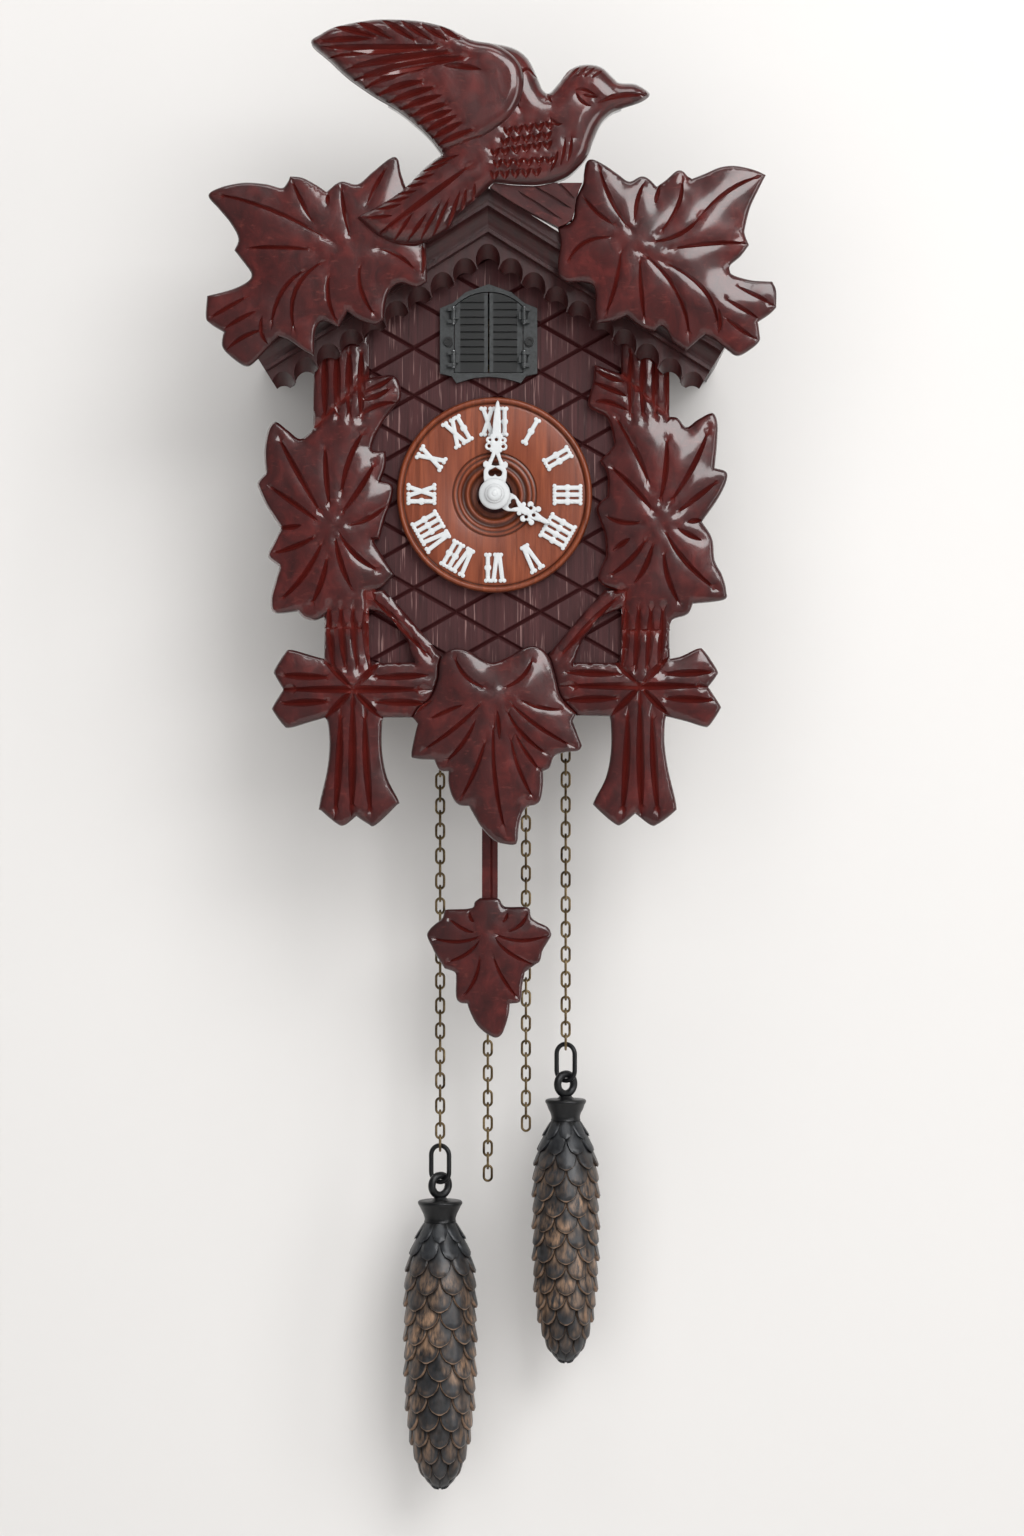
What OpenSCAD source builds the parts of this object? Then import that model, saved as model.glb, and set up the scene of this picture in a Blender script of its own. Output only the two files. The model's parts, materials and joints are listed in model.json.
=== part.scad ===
// Carved cuckoo clock with a short pendulum and two cone weights.
// Millimetres. The origin is the hole that the clock hangs by, in the plane of the wall.
// +Z is up, +X is the viewer's right, and the front of the clock faces -Y.
// Face places are [x, z], measured from the middle of the dial.

/* [Placing] */
// Height of the hanging hole above the middle of the dial
hang_h = 82; // [76:1:88]
// Radius of the hole that goes over the wall hook
hang_r = 4.5; // [3:0.5:6]

/* [Case] */
// Outer width of the case across its sides
case_w = 124; // [118:1:128]
// Depth from the wall to the back of the front panel
case_d = 78; // [76:1:92]
// Thickness of the case boards
wood_t = 6; // [4:0.5:7]
// Thickness of the front panel
panel_t = 6; // [4:0.5:8]
// Depth of the underside of the case below the middle of the dial
case_drop = 84; // [80:1:90]

/* [Roof] */
// Slope of the roof in degrees
roof_slope = 32; // [28:0.5:34]
// Sideways place of the ridge
ridge_x = -2.5; // [-4:0.5:0]
// Height of the ridge above the middle of the dial
ridge_h = 117; // [114:1:120]
// Thickness of the roof boards
roof_t = 7; // [5:0.5:8]
// Length of a roof board down the slope
roof_l = 110; // [100:1:114]
// Reach of the roof boards from the wall
roof_d = 98; // [96:1:110]
// Height of the stepped moulding, square to the slope
moulding_h = 14; // [12:0.5:16]
// Thickness of each of the three layers of the moulding
moulding_step = 3.2; // [2:0.2:4]
// Height of the scalloped strip, square to the slope
valance_h = 23.4; // [21:0.2:23.8]
// Spacing of the scallops along the slope
scallop_pitch = 10.4; // [9:0.2:12]

/* [Carving] */
// Thickness of the carved frames on the panel
frame_t = 8; // [6:0.5:10]
// Thickness of the leaf below the case
lower_leaf_t = 10; // [8:0.5:12]
// Thickness of the two roof leaves
roof_leaf_t = 7; // [5:0.5:9]
// Thickness of the bird
bird_t = 20; // [16:1:24]
// Depth of the carved grooves
groove_depth = 1.4; // [0.8:0.1:2]
// Width of a leaf's vein groove at its middle
vein_w = 2; // [1.4:0.1:2.6]
// Width of the grooves across the panel
lattice_w = 1.7; // [1:0.1:2.4]
// Spacing of the panel's grooves up the middle line
lattice_pitch = 18.8; // [16:0.2:22]
// Angle of the panel's grooves to the level
lattice_angle = 29.7; // [26:0.1:34]

/* [Cuckoo door] */
// Sideways place of the door's middle
door_x = -2.3; // [-3:0.1:-1]
// Height of the door's foot above the middle of the dial
door_foot = 48; // [47:0.5:49]
// Width of one shutter
shutter_w = 13.3; // [12:0.1:13.6]
// Height of a shutter's straight outer edge
shutter_h = 25.6; // [22:0.1:26]
// Rise of the shutters' arch
arch_rise = 5.6; // [4:0.1:6]
// Thickness of a shutter
shutter_t = 2; // [1.6:0.1:2.2]
// Thickness of the plate round the shutters
surround_t = 3; // [2.6:0.1:3.2]
// Radius of the shutters' hinge pins
hinge_pin_r = 0.6; // [0.5:0.05:0.7]

/* [Dial and hands] */
// Radius of the dial
dial_r = 38.2; // [36:0.2:39]
// Thickness of the dial at its rim
dial_t = 6; // [5:0.2:7]
// Radius of the turned rings in the middle of the dial
ring_r = 16.8; // [14:0.2:18]
// Distance from the middle to the foot of a numeral
numeral_foot = 22.6; // [21:0.1:24]
// Height of a numeral
numeral_h = 11.8; // [10:0.1:12]
// Width of a numeral's stroke
stroke_w = 1.7; // [1.2:0.1:2]
// Thickness of the numerals
numeral_t = 1; // [0.6:0.1:1.4]
// Length of the minute hand from the arbor
minute_l = 36.6; // [33:0.2:37.5]
// Length of the hour hand from the arbor
hour_l = 24.5; // [22:0.2:27]
// Thickness of the hands
hand_t = 1.2; // [0.8:0.1:1.3]
// Radius of the cap in the middle of the hands
cap_r = 6.1; // [5:0.1:7]
// Angle of the hour hand, clockwise from twelve
hour_angle = 118; // [0:1:359]
// Angle of the minute hand, clockwise from twelve
minute_angle = 2; // [0:1:359]

/* [Movement] */
// Thickness of the movement's plates
plate_t = 1.6; // [1.2:0.1:2]
// Distance from the wall to the middle of the chains
chain_y = 34; // [33:0.5:36]
// Radius of the arbors
arbor_r = 1; // [0.8:0.05:1.1]
// Running clearance round arbors and pins
run_gap = 0.06; // [0.03:0.01:0.09]
// Tooth size of the great wheel on the going side
great_module = 0.6; // [0.56:0.01:0.62]
// Tooth size of the other wheels
wheel_module = 0.5; // [0.48:0.01:0.51]
// Thickness of the wheels
wheel_t = 1.2; // [0.9:0.1:1.3]
// Height of the pendulum's pivot above the middle of the dial
pivot_h = 46; // [45:0.5:48]

/* [Pendulum] */
// Sideways place of the pendulum
pendulum_x = -2; // [-3:0.1:-1]
// Distance from the wall to the middle of the pendulum rod
pendulum_y = 56; // [55.5:0.5:58]
// Width of the pendulum rod
rod_w = 6.3; // [4:0.1:8]
// Thickness of the pendulum rod
rod_t = 2; // [1.6:0.1:2.4]
// Depth of the top of the pendulum's leaf below the middle of the dial
bob_top = 158.6; // [150:0.2:170]
// Thickness of the pendulum's leaf
bob_t = 4.6; // [3:0.1:6]

/* [Chains and weights] */
// Distance from one chain link to the next
link_pitch = 5.05; // [5:0.01:5.1]
// Thickness of the chain's wire
wire_d = 1; // [0.9:0.02:1.02]
// Outer width of a chain link
link_w = 4.2; // [4.1:0.05:4.5]
// Length of the left cone
left_cone_l = 117; // [105:1:125]
// Widest radius of the left cone
left_cone_r = 14.8; // [13:0.2:16.2]
// Length of the right cone
right_cone_l = 107; // [95:1:115]
// Widest radius of the right cone
right_cone_r = 13.6; // [12:0.1:14]
// Depth of the top of the left cone below the middle of the dial
left_cone_top = 281.5; // [260:0.5:320]
// Depth of the top of the right cone below the middle of the dial
right_cone_top = 240.5; // [220:0.5:270]
// Number of rows of scales on a cone
scale_rows = 16; // [12:1:18]
// Number of scales round a cone
scales_round = 8; // [6:1:9]

/* [Hidden] */
$fn = 48;
eps = 0.01;

// Faces of the case, as distances from the wall
panel_y = case_d + panel_t;
frame_y = panel_y + frame_t;
half_w = case_w / 2;

// Height of the roof at x, for a line that lies d below its upper face, square to the slope
function roof_z(x, d) = ridge_h - abs(x - ridge_x) * tan(roof_slope) - d / cos(roof_slope);

// Every place below is written from the middle of the dial and hung under the hook
module at_dial() { translate([0, 0, -hang_h]) children(); }

// A flat shape drawn in x and z, made solid between two distances from the wall
module slab(from, to) {
    translate([0, -from, 0]) rotate([90, 0, 0]) linear_extrude(to - from) children();
}

// A round bar that runs from front to back
module bar(x, z, r, from, to, sides = 48) {
    translate([x, -from, z]) rotate([90, 0, 0]) cylinder(r = r, h = to - from, $fn = sides);
}

function polar(r, a) = [r * cos(a), r * sin(a)];
function flat(p) = [p[0], p[1]];
function is_corner(p) = len(p) > 2;

// A closed curve through points. A point with a third value is a sharp corner.
function hermite(a, b, ta, tb, t) =
    a * (2 * pow(t, 3) - 3 * pow(t, 2) + 1) + ta * (pow(t, 3) - 2 * pow(t, 2) + t)
    + b * (3 * pow(t, 2) - 2 * pow(t, 3)) + tb * (pow(t, 3) - pow(t, 2));
function smooth(pts, steps = 3) = [
    for (i = [0 : len(pts) - 1])
        let (n = len(pts), a = flat(pts[i]), b = flat(pts[(i + 1) % n]),
             before = flat(pts[(i + n - 1) % n]), after = flat(pts[(i + 2) % n]),
             ta = is_corner(pts[i]) ? (b - a) * 0.8 : (b - before) / 2,
             tb = is_corner(pts[(i + 1) % n]) ? (b - a) * 0.8 : (after - a) / 2)
        for (k = [0 : steps - 1]) hermite(a, b, ta, tb, k / steps)
];

// A vein: a curved stroke from a past b to c, widest at its middle and sharp at both ends
function bend(a, b, c, t) = a * pow(1 - t, 2) + b * 2 * t * (1 - t) + c * pow(t, 2);
function vein(a, b, c, w, n = 6) =
    let (mid = [for (i = [0 : n]) bend(a, b, c, i / n)],
         side = [for (i = [0 : n])
             let (d = mid[min(i + 1, n)] - mid[max(i - 1, 0)])
             [-d[1], d[0]] / norm(d) * w / 2 * sin(180 * i / n)])
    concat([for (i = [0 : n]) mid[i] + side[i]], [for (i = [n - 1 : -1 : 1]) mid[i] - side[i]]);
module groove(a, b, c, w = vein_w) { polygon(vein(a, b, c, w)); }
module veins(list) {
    for (v = list) groove(v[0], v[1], v[2]);
}

/* Outlines, read off the front of the clock in millimetres from the middle of the dial */

roof_leaf_left_pts = [
    [-110, 113.5], [-106, 116.5], [-97, 118.5], [-88, 118], [-82, 116.5], [-80, 118], [-78.5, 121, 1],
    [-74, 120.5], [-69, 118], [-64.5, 115, 1], [-61, 118], [-58, 119], [-52.5, 118], [-47, 122.5],
    [-40, 128], [-37, 127.5], [-35.5, 121], [-30, 106], [-26.5, 96], [-26, 87], [-26, 80.5, 1],
    [-30, 78.5], [-36, 80], [-40, 77.5], [-42, 72], [-42.5, 66, 1], [-46, 64], [-52, 66],
    [-56.5, 69, 1], [-60, 63, 1], [-64, 65], [-67, 65], [-69, 61], [-69.5, 52, 1], [-74, 54.5],
    [-79, 58], [-83, 59.5, 1], [-87, 55.5], [-92, 50], [-95.5, 48], [-100, 50.5], [-104.5, 55],
    [-104.5, 59.5], [-104, 61, 1], [-109.5, 64.5], [-111, 67], [-110.5, 75, 1], [-101, 77.5],
    [-95, 80.5], [-93.5, 83.5], [-96.5, 88], [-100, 92.5, 1], [-98.5, 97], [-101.5, 103], [-106, 108.5]
];
roof_leaf_left_veins = [
    [[-109, 114], [-88, 112], [-60, 94]], [[-96, 93], [-84, 94], [-68, 92]],
    [[-78, 120], [-74, 110], [-69, 102]], [[-59, 118], [-58, 107], [-55, 96]],
    [[-41, 125], [-46, 117], [-49, 109]], [[-46, 93], [-36, 92], [-30, 84]],
    [[-51, 88], [-54, 77], [-45, 66]], [[-63, 84], [-66, 74], [-60, 64]],
    [[-63, 89], [-83, 80], [-76, 58]], [[-71, 85], [-84, 80], [-86, 61]],
    [[-110, 66], [-103, 70], [-94, 75]], [[-103, 54], [-97, 60], [-88, 62]]
];
roof_leaf_right_pts = [
    [34.5, 122.5], [35.5, 126.5], [38, 127.5], [43, 125], [48, 121.5], [52, 119], [56.5, 121],
    [59.5, 120], [62.5, 117, 1], [66, 119.5], [70, 123], [72.5, 123], [74.5, 121], [76, 120, 1],
    [81, 122], [87, 124.5], [93, 125], [100, 123.5], [104.5, 121.5, 1], [102, 116.5], [98.5, 109],
    [96.5, 101], [96.5, 98.5], [98, 94.5, 1], [95, 90.5], [91, 87], [90.5, 85], [92, 83], [99, 81],
    [107, 80.5, 1], [108.5, 77], [108.5, 70.5, 1], [106, 68], [101.5, 65, 1], [102, 61], [102, 57.5],
    [98, 54], [93.5, 52], [89, 55], [84, 59], [81, 60, 1], [78.5, 58], [74, 54, 1], [69, 57.5],
    [66.5, 62], [64, 63.5], [61.5, 61.5, 1], [57, 63], [51, 67.5, 1], [46, 65.5], [39.5, 64.5, 1],
    [39, 70], [39, 76], [37.5, 79.5], [33, 80.5], [28, 80.5], [25, 83], [24.5, 88], [25.5, 95],
    [24.5, 101, 1], [30, 104], [31.5, 112], [34, 118]
];
roof_leaf_right_veins = [
    [[40, 126], [43, 111], [53, 99]], [[34, 114], [38, 106], [48, 101]],
    [[58, 119], [54, 112], [54, 102]], [[72, 121], [74, 109], [62, 97]],
    [[103, 121], [90, 118], [78, 104]], [[80, 106], [73, 96], [59, 95]], [[98, 95], [85, 96], [66, 92]],
    [[46, 97], [32, 98], [28, 87]], [[49, 94], [48, 79], [42, 66]], [[56, 90], [56, 77], [58, 64]],
    [[55, 92], [75, 79], [75, 56]], [[63, 88], [86, 80], [86, 61]], [[92, 79], [101, 75], [108, 71]]
];
side_leaf_left_pts = [
    [-70.5, 26], [-76, 22], [-80.5, 25], [-85.5, 28.5], [-88.5, 25.5], [-90, 17], [-89.5, 8.5, 1],
    [-92.5, 5], [-92, 2], [-89, -4.5], [-83.5, -13, 1], [-86.5, -19], [-88.5, -24], [-84, -28, 1],
    [-86, -34.5], [-87.5, -41], [-86, -46], [-77, -45.5, 1], [-74.5, -48], [-70.5, -49],
    [-66.5, -47.5, 1], [-66.5, -52, 1], [-49, -52, 1], [-50, -38, 1], [-44.5, -36.5], [-39, -31, 1],
    [-43.5, -24], [-47, -18], [-45, -17.5, 1], [-42.5, -8.5], [-40, -1], [-40, 4], [-44.5, 5.5, 1],
    [-42.5, 11.5], [-42.5, 17, 1], [-47.5, 17.5], [-47, 21.5], [-43.5, 28.5], [-40, 33.5],
    [-36.5, 38.5], [-39, 46.5], [-50.5, 45.5, 1]
];
side_leaf_left_veins = [
    [[-85, 24], [-78, 10], [-66, -10]], [[-89, 4], [-77, -4], [-68, -11]],
    [[-87, -23], [-77, -21], [-69, -16]], [[-85, -42], [-73, -34], [-66, -16]],
    [[-72, -44], [-66, -34], [-65, -23]], [[-55, -38], [-61, -27], [-62, -16]],
    [[-44, -30], [-55, -26], [-61, -14]], [[-42, -4], [-49, -11], [-58, -12]],
    [[-46, 14], [-52, 1], [-61, -9]], [[-50, 26], [-58, 15], [-60, -2]],
    [[-66, 20], [-66, 7], [-64, -6]], [[-54, 29], [-48, 36], [-38, 36]]
];
side_leaf_right_pts = [
    [68, 30.5, 1], [71.5, 30], [75, 26.5], [79.5, 29.5], [85, 32], [87, 28.5], [87, 21.5],
    [86, 10.5, 1], [90.5, 9], [90.5, 5], [87, -2], [81, -10.5, 1], [85, -17], [86, -25.5], [89, -31.5],
    [90.5, -37.5], [89.5, -41], [77.5, -42.5, 1], [75.5, -46.5], [70, -48.5], [68.5, -50.5, 1],
    [68.5, -53, 1], [49.5, -53, 1], [51.5, -37.5, 1], [46.5, -37], [42, -35], [40.5, -31.5],
    [43.5, -24, 1], [43, -15.5], [40, -7], [40.5, -3.5], [44, -0.5, 1], [44, 8], [41, 13.5, 1],
    [46, 18.5], [46.5, 21.5], [44, 30], [38, 33.5], [36.5, 36.5], [38.5, 44], [39, 51, 1], [50, 47, 1]
];
side_leaf_right_veins = [
    [[84, 27], [79, 10], [67, -5]], [[88, 6], [79, -1], [70, -8]], [[88, -38], [72, -27], [66, -13]],
    [[73, -44], [66, -33], [66, -21]], [[54, -35], [60, -29], [62, -18]],
    [[44, -32], [54, -27], [60, -16]], [[44, 12], [55, 3], [63, -8]], [[46, 32], [56, 18], [61, 2]],
    [[67, 24], [68, 8], [64, -4]]
];
cross_left_pts = [
    [-66.5, -60, 1], [-66.5, -64, 1], [-70.5, -63], [-79.5, -60.5], [-82, -62], [-86, -68.5],
    [-85.5, -71], [-82.5, -76, 1], [-86.5, -82.5], [-86.5, -84.5], [-82.5, -90], [-80, -91], [-73, -89],
    [-66, -87, 1], [-65, -90], [-64.5, -98], [-65.5, -108], [-68.5, -121.5], [-67.5, -123.5],
    [-61.5, -128.5], [-58.5, -129], [-54, -125.5, 1], [-49.5, -128.5], [-46.5, -129], [-38.5, -121.5],
    [-37.5, -119.5], [-42, -110.5], [-44, -100], [-44, -90], [-43.5, -87, 1], [-20, -87, 1],
    [-20, -65.5, 1], [-48.5, -65.5, 1], [-49, -60, 1]
];
cross_right_pts = [
    [68.5, -60, 1], [68.5, -64, 1], [73, -63], [79.5, -60], [82, -61], [87, -68.5], [86.5, -71],
    [83.5, -75, 1], [88, -82], [88, -84], [84, -90], [81.5, -90.5], [75, -88.5], [67, -86.5, 1],
    [66.5, -90], [66.5, -98], [68, -108], [71, -121], [70, -124], [64, -128.5], [61, -129],
    [55, -124.5, 1], [50, -128.5], [47, -128.5], [39.5, -122], [39, -119.5], [43.5, -110.5],
    [45.5, -100], [45.5, -90], [45, -86.5, 1], [20, -86, 1], [20, -65.5, 1], [48.5, -65.5, 1],
    [49.5, -60, 1]
];
lower_leaf_pts = [
    [-21.5, -66], [-19.5, -62], [-15, -60], [-10, -61], [-4, -64.5], [0, -65.5], [6, -63], [11, -60],
    [15.5, -59], [19.5, -61], [22, -65], [24, -72], [26, -79], [32, -85.5, 1], [30.5, -88.5, 1],
    [33, -95], [34, -98], [32.5, -100], [28, -100.5], [23.5, -102], [21.5, -106.5], [19, -108, 1],
    [19, -113], [18, -119], [16, -121], [13, -121.5, 1], [11, -124], [9.5, -129.5], [9, -135],
    [8, -136.5], [5, -136.5], [0, -135], [-5, -130], [-7.5, -126], [-10, -121.5, 1], [-14, -121],
    [-16.5, -118], [-18, -112.5], [-18, -108, 1], [-21.5, -107.5], [-23.5, -103.5, 1], [-31, -103],
    [-32.5, -101.5], [-31.5, -95.5], [-30, -89.5, 1], [-32, -87, 1], [-29.5, -83], [-25, -79.5],
    [-22, -72]
];
lower_leaf_veins = [
    [[-16, -62], [-13, -73], [-2, -76]], [[15, -63], [13, -73], [2, -76]],
    [[-30, -101], [-13, -91], [-4, -80]], [[-20, -105], [-11, -98], [-7, -87]],
    [[-14, -120], [-6, -107], [-3, -94]], [[5, -134], [-2, -112], [0, -85]],
    [[16, -120], [8, -107], [6, -92]], [[18, -108], [12, -101], [8, -93]],
    [[22, -102], [9, -95], [4, -82]], [[32, -99], [15, -91], [5, -80]],
    [[27, -84], [17, -84], [10, -80]]
];
bird_pts = [
    [-70, 170.5], [-66, 174], [-61, 176.5], [-52, 178.5], [-43, 179.5], [-30, 179], [-20, 177],
    [-13, 174], [-8, 171.5], [0, 171], [8, 169], [13, 165], [16.5, 158], [18.5, 153.5], [21, 152],
    [24.5, 155.5], [29, 161], [35, 163], [41, 162], [45.5, 158], [48, 156], [54, 155.5], [58.5, 153],
    [59.5, 151], [56, 148.5], [50, 146.5], [45, 144.5], [41, 140.5], [38, 134], [36, 128.5],
    [32, 123.5], [27, 119.5], [18, 117], [8, 117], [0, 118, 1], [-7, 111.5], [-14, 105.5], [-18, 99.5],
    [-26, 95], [-36, 94.5], [-45, 98], [-52.5, 104.5, 1], [-44, 109], [-35, 115], [-26, 124],
    [-20, 128.5, 1], [-26, 136], [-36, 144.5], [-46, 150.5], [-56, 157.5], [-63, 164]
];
wing_pts = [
    [-70, 170.5], [-66, 174], [-61, 176.5], [-52, 178.5], [-43, 179.5], [-30, 179], [-20, 177],
    [-13, 174], [-8, 171.5], [0, 170], [7, 166], [11, 160], [11, 151], [7, 143], [0, 137], [-9, 132],
    [-20, 129, 1], [-26, 136], [-36, 144.5], [-46, 150.5], [-56, 157.5], [-63, 164]
];
pendulum_leaf_pts = [
    [-6, -158.5, 1], [1, -158.5], [3, -161], [5, -162], [12, -162], [14, -163, 1], [14.5, -166],
    [17, -168], [21, -170], [22.5, -173], [21, -176], [19, -179.5], [18, -183.5], [16, -185, 1],
    [12, -188, 1], [11, -193], [10.5, -198], [9.5, -200], [6, -200.5, 1], [5.5, -205], [4, -210],
    [2.5, -213], [0, -214], [-4, -212], [-7.5, -208.5], [-10, -203.5], [-11, -200.5, 1], [-14, -200],
    [-15.5, -197.5], [-15.5, -190.5], [-16, -188], [-20, -186.5, 1], [-23.5, -181], [-25, -178],
    [-27, -173.5], [-26, -171], [-24, -169], [-21, -166.5], [-20, -163.5], [-18.5, -163, 1],
    [-9.5, -162.5], [-8, -160]
];
pendulum_leaf_veins = [
    [[-19, -166], [-12, -172], [-8, -172]], [[-26, -174], [-13, -178], [-5, -173]],
    [[-20, -184], [-10, -182], [-6, -175]], [[-13, -198], [-6, -191], [-6, -181]],
    [[13, -164], [12, -170], [4, -172]], [[22, -173], [9, -178], [-1, -172]],
    [[17, -186], [4, -181], [0, -174]], [[10, -199], [2, -191], [-1, -180]],
    [[-10, -164], [-10, -167], [-8, -168]], [[5, -164], [5, -167], [3, -168]]
];

/* Case */

module gable(half, foot, inset = 0) {
    polygon([[-half, foot], [half, foot], [half, roof_z(half, roof_t) - inset],
             [ridge_x, roof_z(ridge_x, roof_t) - inset], [-half, roof_z(-half, roof_t) - inset]]);
}
hanger_w = 40;
hanger_h = 16;
hanger_t = 1.5;
hook_room_r = 9;
module back_board() {
    color("burlywood") at_dial() difference() {
        slab(0, wood_t) gable(half_w - wood_t, -case_drop + wood_t);
        slab(-eps, hanger_t) hanger_outline(0.2);
        for (side = [-1, 1]) bar(side * hanger_screw_x, hang_h, hanger_screw_r, 0, wood_t - 1);
        bar(0, hang_h, hook_room_r, -1, wood_t + 1);
    }
}
module hanger_outline(gap = 0) {
    translate([0, hang_h]) square([hanger_w + 2 * gap, hanger_h + 2 * gap], center = true);
}
hanger_screw_x = hanger_w / 2 - 5;
hanger_screw_r = 1.5;
module hanger_plate() {
    color("silver") at_dial() difference() {
        slab(0, hanger_t) hanger_outline();
        bar(0, hang_h, hang_r, -1, hanger_t + 1);
        for (side = [-1, 1]) bar(side * hanger_screw_x, hang_h, hanger_screw_r, -1, hanger_t + 1);
    }
}
// Slots beside the bellows let their sound out of the case
slot_l = 26;
slot_w = 3;
slot_count = 4;
module case_side(side) {
    in = side * (half_w - wood_t);
    out = side * half_w;
    color("saddlebrown") at_dial() difference() {
        slab(0, case_d) polygon([
            [in, -case_drop], [out, -case_drop], [out, roof_z(out, roof_t)], [in, roof_z(in, roof_t)]]);
        for (k = [0 : slot_count - 1])
            translate([side * (half_w - wood_t / 2) - wood_t, -case_d / 2 - slot_l / 2, -24 + k * 9])
                cube([2 * wood_t, slot_l, slot_w]);
    }
}
module case_side_left() { case_side(-1); }
module case_side_right() { case_side(1); }

// Places of the chains: each sprocket's middle, and the number of links round it
going_x = -12.6;
going_links = 12;
strike_x = 20.5;
strike_links = 10;
function sprocket_r(links) = links * link_pitch / (2 * PI);
strand_xs = [
    going_x - sprocket_r(going_links), going_x + sprocket_r(going_links),
    strike_x - sprocket_r(strike_links), strike_x + sprocket_r(strike_links)
];
chain_hole_r = 4.2;
slot_half = 14;
slot_y = [pendulum_y - 4, pendulum_y + 4];
module case_bottom() {
    color("saddlebrown") at_dial() difference() {
        translate([-half_w + wood_t, -case_d, -case_drop]) cube([case_w - 2 * wood_t, case_d, wood_t]);
        for (x = strand_xs)
            translate([x, -chain_y, -case_drop - 1]) cylinder(r = chain_hole_r, h = wood_t + 2);
        translate([pendulum_x - slot_half, -slot_y[1], -case_drop - 1])
            cube([2 * slot_half, slot_y[1] - slot_y[0], wood_t + 2]);
    }
}

// The bird's way out is a little smaller than the two shutters, which close against its edge
opening_half = shutter_w - 0.8;
arbor_hole_r = 5;
module door_hole(half, foot, spring, rise) {
    r = (half * half + rise * rise) / (2 * rise);
    a = asin(half / r);
    polygon(concat([[door_x - half, foot], [door_x + half, foot]],
        [for (i = [0 : 12]) [door_x + r * sin(a - i * a / 6), spring + rise - r + r * cos(a - i * a / 6)]]));
}
// Grooves in two directions make the lozenges across the panel
lattice_mid = [1.3, -55];
module lattice() {
    run = 2 * (ridge_h + case_drop);
    count = ceil(run / lattice_pitch / 2) + 1;
    for (tilt = [-lattice_angle, lattice_angle]) for (k = [-count : count])
        translate([lattice_mid[0], -panel_y, lattice_mid[1] + k * lattice_pitch])
            rotate([0, tilt, 0]) rotate([45, 0, 0])
                cube([run, lattice_w / sqrt(2), lattice_w / sqrt(2)], center = true);
}
module front_panel() {
    color([0.33, 0.2, 0.2]) at_dial() difference() {
        slab(case_d, panel_y) gable(half_w, -case_drop);
        lattice();
        slab(case_d - 1, panel_y + 1)
            door_hole(opening_half, door_foot + 0.8, door_foot + shutter_h - 0.6, arch_rise);
        bar(0, 0, arbor_hole_r, case_d - 1, panel_y + 1);
    }
}

/* Roof */

// A strip down one side of the roof, between two depths below its upper face
module slope_strip(side, top, bottom, length) {
    s = sin(roof_slope);
    c = cos(roof_slope);
    reach = [side * c, -s];
    down = [-side * s, -c];
    crown = [ridge_x, ridge_h];
    polygon([crown - [0, top / c], crown + reach * length + down * top, crown + reach * length + down * bottom,
             crown - [0, bottom / c]]);
}
module roof_board(side) {
    color("saddlebrown") at_dial() slab(0, roof_d) slope_strip(side, 0, roof_t, roof_l);
}
module roof_board_left() { roof_board(-1); }
module roof_board_right() { roof_board(1); }
moulding_y = roof_d + 3 * moulding_step;
// The moulding's section: a fascia, a cove and a bead. x is forward from the roof, y is down.
cove_r = moulding_h * 0.47;
cove = [3 * moulding_step - 0.6, moulding_h - 1.8];
module moulding_section() {
    polygon(concat(
        [[0, 0], [cove[0] + 0.6, 0], [cove[0] + 0.6, cove[1] - cove_r - 2], [cove[0], cove[1] - cove_r - 1.2]],
        [for (a = [90 : 10 : 180]) cove + cove_r * [cos(a), -sin(a)]],
        [[cove[0] - cove_r + 1.4, cove[1] + 0.2], [cove[0] - cove_r + 1.4, moulding_h - 0.4], [0, moulding_h]]));
}
module roof_moulding() {
    color([0.3, 0.12, 0.1]) at_dial() for (side = [0, 1])
        translate([ridge_x, -roof_d, ridge_h]) mirror([side, 0, 0]) difference() {
            rotate([0, roof_slope, 0]) rotate([-90, 0, 0]) rotate([0, 90, 0])
                translate([0, 0, -moulding_h]) linear_extrude(roof_l + moulding_h) moulding_section();
            translate([-50, -20, -50]) cube([50, 40, 100]);
        }
}
// The strip under the roof, scooped by a gouge that came up from behind and below
valance_t = 6;
scallop_r = 4.7;
scallop_lean = 50;
module scalloped_strip() {
    color([0.35, 0.13, 0.12]) at_dial() difference() {
        slab(roof_d - valance_t, roof_d) for (side = [-1, 1]) slope_strip(side, roof_t, valance_h, roof_l);
        for (side = [-1, 1]) for (k = [side < 0 ? 1 : 0 : 9])
            let (x = ridge_x + side * k * scallop_pitch * cos(roof_slope))
            translate([x, -roof_d, roof_z(x, valance_h - 1)])
                rotate([scallop_lean, 0, 0]) cylinder(r = scallop_r, h = 40, center = true, $fn = 32);
    }
}

/* Carved frames, leaves and bird */

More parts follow.
